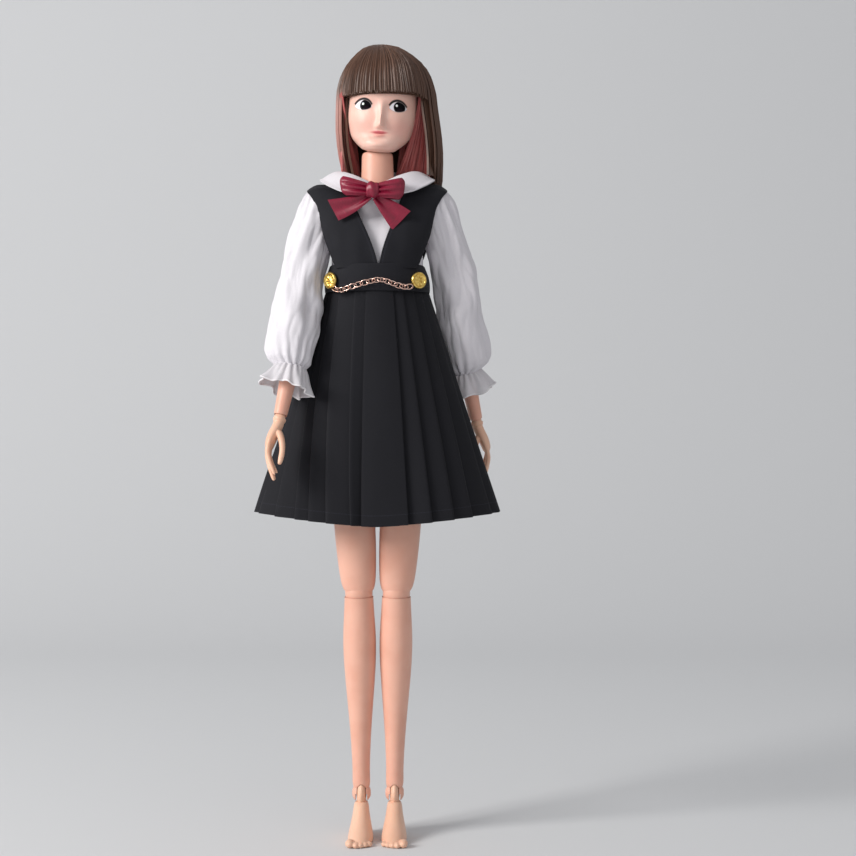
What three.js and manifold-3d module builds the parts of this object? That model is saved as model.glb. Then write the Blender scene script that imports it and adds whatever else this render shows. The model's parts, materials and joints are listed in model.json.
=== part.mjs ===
// A jointed fashion doll, 270 mm tall, in a white blouse and a pleated pinafore dress.
// Millimetres, +Z up. The doll stands on its soles and faces -Y; its right hand is at -X.
import * as THREE from 'three';
import { mergeVertices } from 'three/addons/utils/BufferGeometryUtils.js';
import Module from 'manifold-3d';

const wasm = await Module();
wasm.setup();

// Driving dimensions of the body: each length runs from joint to joint.
const gap = 0.3;
const cupGap = 0.5;
const cutPast = 2;
const ankleHeight = 14.6;
const shinLength = 69.4;
const thighLength = 44;
const hipToWaist = 36;
const waistToShoulder = 50.5;
const waistToNeck = 56;
const neckLength = 15;
const upperArmLength = 38;
const forearmLength = 37.5;
const ankleSpacing = 11.4;
const kneeSpacing = 12.8;
const hipSpacing = 18;
const shoulderSpacing = 37;
const hipSetBack = 1;
const kneeSetBack = 3;
const ankleSetBack = 8;
const shoulderSetBack = 1;

// Radii of the round joint ends, their tongues and their pins.
const hipBall = 7.4;
const hipDisc = 4.2;
const hipPeg = 1.6;
const kneeBall = 4.7;
const kneeTongue = 3.2;
const kneeTongueWidth = 2.6;
const kneePin = 0.9;
const ankleBall = 3.3;
const ankleTongue = 2.2;
const ankleTongueWidth = 2;
const anklePin = 0.6;
const shoulderBall = 5;
const shoulderDisc = 2.9;
const shoulderPeg = 1.2;
const elbowBall = 2.9;
const elbowTongue = 1.9;
const elbowTongueWidth = 1.4;
const elbowPin = 0.5;
const wristBall = 2.2;
const wristDisc = 1.3;
const wristPeg = 0.8;
const waistBall = 6;
const waistPeg = 2.5;
const neckRadius = 5.2;
const neckPeg = 3.2;
const headBall = 3.6;
const kneeBend = 90;
const elbowBend = 90;

// The foot, the fingers and the head.
const footLength = 27;
const footWidth = 8.8;
const fingerSpread = 1.75;
const fingerLengths = [11.5, 13, 12.1, 9.1];
const headHeight = 34.5;
const headWidth = 23;
const headDepth = 27;
const chinDrop = 3;
const headTurn = -7;
const headTilt = 2.5;

// The hair, as it lies over the head.
const hairThickness = 3.6;
const hairLength = 46.5;
const hairWidth = 35;
const fringeLength = 18;
const fringeThickness = 1.2;

// Cloth thicknesses and the lengths that the clothes are cut to.
const blouseCloth = 0.6;
const blouseLength = 44;
const dressCloth = 0.8;
const waistbandHeight = 9;
const waistbandDrop = 19.5;
const waistbandThickness = 1.4;
const bandHalfWidth = 17.3;
const bandHalfDepth = 14;
const bandBulge = 2.3;
const skirtBulge = 1.75;
const skirtLength = 78;
const skirtHemLift = 4;
const skirtHemWidth = 81;
const skirtHemDepth = 46;
const skirtCloth = 0.9;
const pleatCount = 22;
const pleatDepth = 1.8;
const sleeveFullness = 8.5;
const sleeveDepth = 7.4;
const cuffDrop = 17;
const frillLength = 8.5;
const cuffRadius = 4.6;
const ruffleRadius = 8.2;
const ruffleFolds = 6;
const collarRadius = 17;
const buttonRadius = 2.65;
const buttonHeight = 1.4;
const linkLength = 3;
const linkWidth = 1.8;
const linkWire = 0.3;
const linkCount = 14;

// How the arms hang in the photograph, in degrees from straight down.
const armOut = { right: 10, left: 12 };
const armForward = { right: 14, left: -11 };
const elbowAtRest = { right: 4, left: 0 };

// Heights and places that follow from the lengths.
const kneeZ = ankleHeight + shinLength;
const hipZ = kneeZ + thighLength;
const waistZ = hipZ + hipToWaist;
const shoulderZ = waistZ + waistToShoulder;
const neckZ = waistZ + waistToNeck;
const hipY = hipSetBack;
const waistbandTop = shoulderZ - waistbandDrop;
const waistbandBottom = waistbandTop - waistbandHeight;

const skin = new THREE.MeshStandardMaterial({ color: 0xe9bda2, roughness: 0.5, metalness: 0 });
const headSkin = new THREE.MeshStandardMaterial({ color: 0xecc0ac, roughness: 0.5, metalness: 0 });
const pinPlastic = new THREE.MeshStandardMaterial({ color: 0xdcae93, roughness: 0.5, metalness: 0 });
const brownHair = new THREE.MeshStandardMaterial({ color: 0x6b4a3a, roughness: 0.45, metalness: 0 });
const pinkHair = new THREE.MeshStandardMaterial({ color: 0xb4555a, roughness: 0.45, metalness: 0 });
const whiteCotton = new THREE.MeshStandardMaterial({ color: 0xe9e6ea, roughness: 0.85, metalness: 0 });
const navyCloth = new THREE.MeshStandardMaterial({ color: 0x14141d, roughness: 0.85, metalness: 0 });
const crimsonSatin = new THREE.MeshStandardMaterial({ color: 0x8c1230, roughness: 0.4, metalness: 0 });
const goldMetal = new THREE.MeshStandardMaterial({ color: 0xd9a93a, roughness: 0.3, metalness: 1 });
const roseMetal = new THREE.MeshStandardMaterial({ color: 0xc98c78, roughness: 0.3, metalness: 1 });

const radians = THREE.MathUtils.degToRad;

// A closed geometry as a solid: shared corners merged and slivers of no area dropped.
function solid(geometry) {
  geometry.deleteAttribute('normal');
  geometry.deleteAttribute('uv');
  const merged = mergeVertices(geometry, 1e-4);
  const corners = merged.index.array;
  const kept = [];
  for (let i = 0; i < corners.length; i += 3) {
    const [a, b, c] = corners.slice(i, i + 3);
    if (a !== b && b !== c && c !== a) kept.push(a, b, c);
  }
  return new wasm.Manifold(new wasm.Mesh({
    numProp: 3,
    vertProperties: new Float32Array(merged.attributes.position.array),
    triVerts: new Uint32Array(kept),
  }));
}

// Adds a solid to a group as a named mesh.
function addPiece(group, name, shape, material) {
  const result = shape.getMesh();
  const geometry = new THREE.BufferGeometry();
  geometry.setAttribute('position', new THREE.BufferAttribute(result.vertProperties, 3));
  geometry.setIndex(new THREE.BufferAttribute(result.triVerts, 1));
  geometry.computeVertexNormals();
  const mesh = new THREE.Mesh(geometry, material);
  mesh.name = name;
  group.add(mesh);
}

function ball(radius, x, y, z, sides = 10) {
  return solid(new THREE.SphereGeometry(radius, sides, Math.round(sides * 0.6)).translate(x, y, z));
}

function block(sizeX, sizeY, sizeZ, x, y, z) {
  return solid(new THREE.BoxGeometry(sizeX, sizeY, sizeZ).translate(x, y, z));
}

// Rods along each axis, centred on the point given.
function rodX(radius, length, x, y, z, sides = 10) {
  const upright = new THREE.CylinderGeometry(radius, radius, length, sides);
  return solid(upright.rotateZ(Math.PI / 2).translate(x, y, z));
}

function rodY(radius, length, x, y, z, sides = 10) {
  return solid(new THREE.CylinderGeometry(radius, radius, length, sides).translate(x, y, z));
}

function rodZ(radius, length, x, y, z, sides = 10) {
  const upright = new THREE.CylinderGeometry(radius, radius, length, sides);
  return solid(upright.rotateX(Math.PI / 2).translate(x, y, z));
}

// The point at an angle on an oval ring; a bulge over 2 squares the oval.
function ovalPoint(bulge) {
  const power = 2 / bulge;
  return ([z, halfWidth, halfDepth, x = 0, y = 0], angle) => [
    x + halfWidth * Math.sign(Math.cos(angle)) * Math.abs(Math.cos(angle)) ** power,
    y + halfDepth * Math.sign(Math.sin(angle)) * Math.abs(Math.sin(angle)) ** power,
    z,
  ];
}

// A closed skin over level rings, whose points a function of the row and the angle gives.
function loftGeometry(rows, sides, pointOf) {
  const levels = [...rows].sort((low, high) => low[0] - high[0]);
  const points = [];
  for (const row of levels) {
    for (let i = 0; i < sides; i++) points.push(...pointOf(row, 2 * Math.PI * i / sides));
  }
  const faces = [];
  for (let level = 0; level < levels.length - 1; level++) {
    for (let i = 0; i < sides; i++) {
      const a = level * sides + i;
      const b = level * sides + (i + 1) % sides;
      faces.push(a, b, b + sides, a, b + sides, a + sides);
    }
  }
  const capAt = (level) => {
    const start = level * sides;
    const middle = [0, 1, 2].map((k) => {
      let total = 0;
      for (let i = 0; i < sides; i++) total += points[3 * (start + i) + k];
      return total / sides;
    });
    points.push(...middle);
    return points.length / 3 - 1;
  };
  const bottom = capAt(0);
  const top = capAt(levels.length - 1);
  for (let i = 0; i < sides; i++) {
    const next = (i + 1) % sides;
    const last = (levels.length - 1) * sides;
    faces.push(bottom, next, i);
    faces.push(top, last + i, last + next);
  }
  const geometry = new THREE.BufferGeometry();
  geometry.setAttribute('position', new THREE.Float32BufferAttribute(points, 3));
  geometry.setIndex(faces);
  return geometry;
}

// A solid over oval rings. A row is [z, half width, half depth, x, y].
function loft(rows, sides = 12, bulge = 2) {
  return solid(loftGeometry(rows, sides, ovalPoint(bulge)));
}

// The same rows, each ring wider by so much all round.
function grownBy(rows, extra) {
  return rows.map(([z, halfWidth, halfDepth, ...at]) => [z, halfWidth + extra, halfDepth + extra, ...at]);
}

// The same rows, lengthened past both ends, to cut a solid open there.
function openEnded(rows) {
  const levels = [...rows].sort((low, high) => low[0] - high[0]).map((row) => [...row]);
  levels[0][0] -= cutPast;
  levels[levels.length - 1][0] += cutPast;
  return levels;
}

// The row of a profile at any height, by straight interpolation.
function rowAt(rows, z) {
  const levels = [...rows].sort((low, high) => low[0] - high[0]);
  let upper = levels.findIndex((row) => row[0] >= z);
  if (upper < 0) upper = levels.length - 1;
  const high = levels[Math.max(upper, 1)];
  const low = levels[Math.max(upper, 1) - 1];
  const share = (z - low[0]) / (high[0] - low[0]);
  return [z, ...[1, 2, 3, 4].map((k) => (low[k] ?? 0) + share * ((high[k] ?? 0) - (low[k] ?? 0)))];
}

// A cloth tube that follows a profile between two heights, at a distance from it.
function clothOver(rows, from, to, distance, cloth, sides) {
  const heights = [from, ...rows.map((row) => row[0]).filter((z) => z > from && z < to), to];
  const followed = heights.map((z) => rowAt(rows, z));
  const inner = openEnded(grownBy(followed, distance));
  return loft(grownBy(followed, distance + cloth), sides).subtract(loft(inner, sides));
}

// A wedge about the X axis through a hinge: from angle a to b, measured from -Z towards +Y.
function wedge(reach, width, a, b, y, z, facing = 1) {
  const outline = new THREE.Shape();
  outline.moveTo(0, 0);
  const steps = 4;
  for (let i = 0; i <= steps; i++) {
    const angle = radians(a + (b - a) * i / steps);
    outline.lineTo(facing * reach * Math.sin(angle), -reach * Math.cos(angle));
  }
  const flat = new THREE.ExtrudeGeometry(outline, { depth: width, bevelEnabled: false });
  return solid(flat.translate(0, 0, -width / 2).rotateY(Math.PI / 2).rotateX(Math.PI / 2).translate(0, y, z));
}

// A wedge about the Z axis, from the front by so many degrees towards one side.
function wedgeZ(reach, height, from, to, side) {
  const outline = new THREE.Shape();
  outline.moveTo(0, -6);
  outline.lineTo(side * reach * Math.sin(radians(from)), -reach * Math.cos(radians(from)));
  outline.lineTo(side * reach * Math.sin(radians(to)), -reach * Math.cos(radians(to)));
  outline.closePath();
  const flat = new THREE.ExtrudeGeometry(outline, { depth: height, bevelEnabled: false });
  return solid(flat.translate(0, 0, -height / 2));
}

const doll = new THREE.Group();
doll.name = 'doll';

// The pelvis: a cup on top for the waist ball, and a thin crotch bar between two hip cups.
const pelvisRows = [
  [hipZ - 7.5, 4.5, 5, 0, hipY], [hipZ - 4, 8, 7.4, 0, hipY], [hipZ, 13, 9, 0, hipY + 0.4],
  [hipZ + 6, 16.2, 9.8, 0, hipY + 0.8], [hipZ + 13, 15.2, 9.2, 0, hipY + 0.6],
  [hipZ + 22, 12, 7.8, 0, hipY], [waistZ - 5, 10.6, 7.2, 0, hipY], [waistZ - 1.2, 10, 7, 0, hipY],
];
let pelvis = loft(pelvisRows, 16);
pelvis = pelvis.subtract(ball(waistBall + cupGap, 0, hipY, waistZ, 12));
for (const side of [-1, 1]) {
  const hipX = side * hipSpacing / 2;
  const cup = hipBall + cupGap;
  pelvis = pelvis.subtract(ball(cup, hipX, hipY, hipZ, 12));
  pelvis = pelvis.subtract(block(2 * cup, 40, 20, hipX, hipY, hipZ - 10));
  pelvis = pelvis.subtract(block(2 * cup, 20, cup + 10, hipX, hipY - 10, hipZ + (cup - 10) / 2));
  const boreLength = hipSpacing / 2 - gap;
  pelvis = pelvis.subtract(rodX(hipPeg + gap, boreLength, hipX - side * hipSpacing / 4, hipY, hipZ));
}
addPiece(doll, 'pelvis', pelvis, skin);

// The waist: a ball that leans in the pelvis, with a peg on which the chest turns.
const waist = new THREE.Group();
waist.name = 'torso_lean';
waist.position.set(0, hipY, waistZ);
doll.add(waist);
const chestPegLength = 16;
const waistLink = ball(waistBall, 0, 0, 0, 12).add(rodZ(waistPeg, chestPegLength, 0, 0, chestPegLength / 2));
addPiece(waist, 'waist_link', waistLink, skin);

// The chest, with a bore for the waist peg, one for the neck peg and a cup at each shoulder.
const turn = new THREE.Group();
turn.name = 'torso_turn';
waist.add(turn);
const upper = new THREE.Group();
upper.position.set(0, -hipY, -waistZ);
turn.add(upper);
const chestRows = [
  [waistZ + 1.2, 10, 7, 0, 1], [waistZ + 8, 10.6, 7.6, 0, 1], [waistZ + 16, 12.4, 8.8, 0, 0.6],
  [waistZ + 24, 14, 10.2, 0, 0], [waistZ + 31, 14.6, 11.2, 0, -0.6], [waistZ + 38, 14.4, 10.6, 0, -0.4],
  [waistZ + 45, 14.2, 8.8, 0, 0.2], [waistZ + 50, 14.4, 7.2, 0, 0.8], [waistZ + 53.5, 12.2, 6, 0, 1],
  [waistZ + waistToNeck - 0.5, 7.4, 5.6, 0, 1],
];
let chest = loft(chestRows, 16);
chest = chest.subtract(ball(waistBall + cupGap, 0, hipY, waistZ, 12));
const pegBore = chestPegLength + gap;
chest = chest.subtract(rodZ(waistPeg + gap, pegBore, 0, hipY, waistZ + pegBore / 2));
chest = chest.subtract(rodZ(neckPeg + gap, 18, 0, shoulderSetBack, neckZ));
for (const side of [-1, 1]) {
  const shoulderX = side * shoulderSpacing / 2;
  chest = chest.subtract(ball(shoulderBall + cupGap, shoulderX, shoulderSetBack, shoulderZ));
  chest = chest.subtract(
    rodX(shoulderPeg + gap, 10, shoulderX - side * (shoulderBall + 2), shoulderSetBack, shoulderZ),
  );
}
addPiece(upper, 'chest', chest, skin);

// The neck turns on its peg in the chest and carries the head on a ball.
const neckGroup = new THREE.Group();
neckGroup.name = 'head_turn';
neckGroup.position.set(0, shoulderSetBack, neckZ);
upper.add(neckGroup);
const neckRows = [
  [0.1, neckRadius + 0.6, neckRadius + 0.3], [2, neckRadius + 0.1, neckRadius],
  [6, neckRadius - 0.1, neckRadius], [neckLength - 6, neckRadius, neckRadius], [neckLength - 4, 3, 3],
  [neckLength - 1, 2.6, 2.6],
];
const neck = loft(neckRows, 14).add(rodZ(neckPeg, 8, 0, 0, -3.5)).add(ball(headBall, 0, 0, neckLength, 10));
addPiece(neckGroup, 'neck', neck, skin);

// The head, in its own frame: the nod axis at its origin, the face towards -Y.
const head = new THREE.Group();
head.name = 'head_nod';
head.position.set(0, 0, neckLength);
head.rotation.set(0, radians(headTilt), radians(headTurn), 'ZYX');
neckGroup.add(head);
const chinZ = -chinDrop;
const crownZ = chinZ + headHeight;
const headRows = [];
const headOutline = [
  [0, 0.26, 0.16, -0.24], [0.03, 0.46, 0.34, -0.18], [0.09, 0.66, 0.52, -0.11], [0.18, 0.82, 0.66, -0.06],
  [0.3, 0.92, 0.77, -0.04], [0.42, 0.97, 0.86, -0.02], [0.54, 0.99, 0.93, 0], [0.65, 1, 0.98, 0.01],
  [0.76, 0.95, 0.95, 0.01], [0.87, 0.78, 0.79, 0.02], [0.95, 0.5, 0.52, 0.02], [1, 0.14, 0.15, 0.02],
];
for (const [rise, width, depth, shift] of headOutline) {
  headRows.push([
    chinZ + rise * headHeight, width * headWidth / 2, depth * headDepth / 2, 0, 1.2 + shift * headDepth,
  ]);
}
const noseZ = chinZ + 0.33 * headHeight;
const nose = ball(1.5, 0, rowAt(headRows, noseZ)[4] - rowAt(headRows, noseZ)[2] + 0.5, noseZ, 8);
let skull = loft(headRows, 16).add(nose);
skull = skull.subtract(ball(headBall + cupGap, 0, 0, 0, 10));
const neckWay = [[-8, 9.5, 9.5], [-4, 6, 6], [0, 3.6, 3.6]];
skull = skull.subtract(loft(neckWay, 10));
addPiece(head, 'head', skull, headSkin);

// The hair: an outer cap with the face open, a blunt fringe and a pink lock beside each cheek.
const hairTop = crownZ + hairThickness;
const hairBottom = hairTop - hairLength;
const hairRows = [
  [hairTop, 0.16, 0.18, 0.4], [hairTop - 1.4, 0.42, 0.46, 0.6], [hairTop - 4.5, 0.66, 0.7, 0.8],
  [hairTop - 10, 0.83, 0.88, 1], [hairTop - 18, 0.91, 0.97, 1.2], [hairTop - 28, 0.96, 0.98, 1.8],
  [hairTop - 36, 1, 0.96, 2.6], [hairBottom, 0.95, 0.88, 3.2],
].map(([z, width, depth, shift]) => [z, width * hairWidth / 2, depth * (headDepth + 6) / 2, shift, 2.2]);
const scalpRows = grownBy(headRows.slice(3), gap);
const hollowRows = [
  [hairBottom - 3, 13.5, 11.5, 1.5, 2.6], [hairBottom + 6, 13, 12, 1.2, 2.2],
  [chinZ + 7, 12.4, 12.6, 0.6, 1.4], ...scalpRows.slice(2),
];
const faceHalf = headWidth / 2 + 0.5;
const fringeZ = hairTop - fringeLength;
const faceOpening = block(2 * faceHalf, 22, hairLength, 0, -11, fringeZ - hairLength / 2);
// The hair rests on the shoulders in a shallow cone, so it clears the collar as the head turns.
const coneRows = [[hairBottom - 9, 24, 24], [hairBottom + 0.2, 22, 22], [hairBottom + 4.8, 5, 5]];
const shoulderCone = loft(coneRows, 16);
let hairCap = loft(hairRows, 18).subtract(loft(hollowRows, 16)).subtract(faceOpening).subtract(shoulderCone);
const fringeRise = fringeLength - 9;
const fringeBand = block(2 * (faceHalf - gap), 16, fringeRise, 0, -12.4, fringeZ + fringeRise / 2);
const fringe = loft(grownBy(scalpRows, fringeThickness), 16)
  .subtract(loft(scalpRows, 16))
  .intersect(fringeBand);
addPiece(head, 'hair_fringe', fringe, brownHair);
const fringeRoom = block(2 * faceHalf, 16, fringeRise + gap, 0, -12.4, fringeZ + (fringeRise + gap) / 2);
hairCap = hairCap.subtract(fringeRoom);
const headRoom = loft(grownBy(headRows, gap), 16);
for (const side of [-1, 1]) {
  const lockX = side * (faceHalf + 0.4);
  const lockRows = [
    [hairBottom + 6, 1.8, 1.3, lockX - side * 2.6, 0.5],
    [hairBottom + 12, 1.6, 1.6, lockX - side * 1.4, -1.6],
    [chinZ + 10, 0.8, 1.9, lockX + side * 0.2, -3.6], [fringeZ - 1, 0.6, 1.2, lockX + side * 0.3, -4.8],
  ];
  const lockRoom = grownBy(lockRows, gap);
  lockRoom[0][0] -= gap;
  lockRoom[3][0] += gap;
  hairCap = hairCap.subtract(loft(lockRoom, 8));
  const lock = loft(lockRows, 8).subtract(headRoom);
  addPiece(head, side < 0 ? 'hair_inner_right' : 'hair_inner_left', lock, pinkHair);
}
addPiece(head, 'hair_outer', hairCap, brownHair);

// One arm. The side is -1 for the doll's right arm and 1 for its left.
function makeArm(side, label) {
  const swing = new THREE.Group();
  swing.name = `arm_swing_${label}`;
  swing.position.set(side * shoulderSpacing / 2, shoulderSetBack, shoulderZ);
  swing.rotation.x = -radians(armForward[label]);
  upper.add(swing);
  const pegReach = shoulderBall + 5;
  const shoulderLink = rodY(shoulderDisc, 2 * shoulderPeg, 0, 0, 0, 12)
    .add(rodX(shoulderPeg, pegReach, -side * pegReach / 2, 0, 0));
  addPiece(swing, `shoulder_link_${label}`, shoulderLink, pinPlastic);

  const raise = new THREE.Group();
  raise.name = `arm_raise_${label}`;
  raise.rotation.y = -side * radians(armOut[label]);
  swing.add(raise);
  let upperArm = loft([
    [-upperArmLength, 2.85, 2.85], [-upperArmLength * 0.8, 3, 3.1], [-upperArmLength * 0.5, 3.2, 3.5],
    [-upperArmLength * 0.25, 3.3, 3.7], [-shoulderBall * 0.4, 4.3, 4.5], [0, 4.2, 4.2],
  ], 10);
  const halfBend = (180 - elbowBend) / 2;
  upperArm = upperArm.subtract(wedge(12, 12, halfBend - 2, 180 - halfBend + 1, 0, -upperArmLength, -1));
  upperArm = upperArm.add(ball(shoulderBall, 0, 0, 0)).add(ball(elbowBall, 0, 0, -upperArmLength, 8));
  const slotHalf = shoulderPeg + gap;
  const slotReach = shoulderBall + 3;
  upperArm = upperArm.subtract(rodY(shoulderDisc + gap, 2 * slotHalf, 0, 0, 0, 12));
  upperArm = upperArm.subtract(block(
    slotReach + slotHalf, 2 * slotHalf, slotReach + slotHalf,
    -side * (slotReach - slotHalf) / 2, 0, (slotReach - slotHalf) / 2,
  ));
  const elbowRoom = elbowTongue + gap;
  const elbowSlot = elbowTongueWidth + 2 * gap;
  upperArm = upperArm.subtract(block(
    elbowSlot, elbowRoom + 8, elbowRoom + 6, 0, elbowRoom - (elbowRoom + 8) / 2,
    -upperArmLength + elbowRoom - (elbowRoom + 6) / 2,
  ));
  upperArm = upperArm.subtract(rodX(elbowPin + gap, 12, 0, 0, -upperArmLength, 8));
  addPiece(raise, `upper_arm_${label}`, upperArm, skin);
  const elbowPinShape = rodX(elbowPin, 2 * elbowBall - 0.9, 0, 0, -upperArmLength, 8);
  addPiece(raise, `elbow_pin_${label}`, elbowPinShape, pinPlastic);

  const elbow = new THREE.Group();
  elbow.name = `elbow_bend_${label}`;
  elbow.position.set(0, 0, -upperArmLength);
  elbow.rotation.x = -radians(elbowAtRest[label]);
  raise.add(elbow);
  let forearm = loft([
    [-forearmLength + 1, 2.3, 2.5], [-forearmLength * 0.85, 2.4, 2.7], [-forearmLength * 0.6, 2.9, 3.2],
    [-forearmLength * 0.3, 3.2, 3.5], [-forearmLength * 0.12, 3, 3.2], [-1.2, 2.9, 2.9],
  ], 10);
  forearm = forearm.subtract(ball(elbowBall + cupGap, 0, 0, 0, 8));
  forearm = forearm.subtract(wedge(12, 12, halfBend - 3, 150, 0, 0, -1));
  forearm = forearm.add(rodX(elbowTongue, elbowTongueWidth, 0, 0, 0));
  const elbowStem = elbowBall + 2.5;
  forearm = forearm.add(block(elbowTongueWidth, 1.4 * elbowTongue, elbowStem, 0, 0, -elbowStem / 2));
  forearm = forearm.subtract(rodX(elbowPin + gap, 12, 0, 0, 0, 8));
  forearm = forearm.subtract(ball(wristBall + cupGap, 0, 0, -forearmLength, 8));
  const wristPegLength = 8;
  forearm = forearm.subtract(rodZ(wristPeg + gap, 2 * (wristPegLength + gap), 0, 0, -forearmLength, 8));
  addPiece(elbow, `forearm_${label}`, forearm, skin);

  const wristTurn = new THREE.Group();
  wristTurn.name = `wrist_turn_${label}`;
  wristTurn.position.set(0, 0, -forearmLength);
  elbow.add(wristTurn);
  const wristLink = rodY(wristDisc, 2 * wristPeg, 0, 0, 0, 10)
    .add(rodZ(wristPeg, wristPegLength, 0, 0, wristPegLength / 2, 8));
  addPiece(wristTurn, `wrist_link_${label}`, wristLink, pinPlastic);

  // The hand: the palm faces the thigh, the four fingers curl towards it and the thumb stands off.
  const bend = new THREE.Group();
  bend.name = `wrist_bend_${label}`;
  wristTurn.add(bend);
  let hand = loft([
    [-10.5, 1.2, 3.2, side * 1.6, 0], [-8.5, 1.7, 3.7, side * 1.3, 0], [-6, 1.9, 3.4, side * 0.7, 0],
    [-3.5, 1.8, 2.6, side * 0.3, 0], [-1.6, 1.7, 1.8, 0, 0],
  ], 8).add(ball(wristBall, 0, 0, 0, 8));
  const knuckle = 8.5;
  fingerLengths.forEach((length, finger) => {
    const fingerY = (finger - 1.5) * fingerSpread;
    hand = hand.add(loft([
      [-knuckle - length, 0.55, 0.5, -side * 2.5, fingerY * 0.9],
      [-knuckle - 0.65 * length, 0.9, 0.8, -side * 0.1, fingerY * 0.95],
      [-knuckle - 0.38 * length, 1, 0.85, side * 1.5, fingerY], [-knuckle, 1.1, 0.95, side * 1.8, fingerY],
    ], 5));
  });
  hand = hand.add(loft([
    [-16.2, 0.6, 0.6, -side * 3.3, -2.9], [-11, 0.95, 0.95, -side * 3.3, -3],
    [-7, 1.1, 1.1, -side * 2, -2.6], [-4, 1.1, 1.2, -side * 0.5, -1.2],
  ], 6));
  const wristSlot = 2 * (wristPeg + gap);
  hand = hand.subtract(rodY(wristDisc + gap, wristSlot, 0, 0, 0, 10));
  hand = hand.subtract(block(2 * wristBall, wristSlot, wristBall + 1, 0, 0, (wristBall + 1) / 2));
  addPiece(bend, `hand_${label}`, hand, skin);
  return { raise, elbow };
}
const arms = { right: makeArm(-1, 'right'), left: makeArm(1, 'left') };

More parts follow.
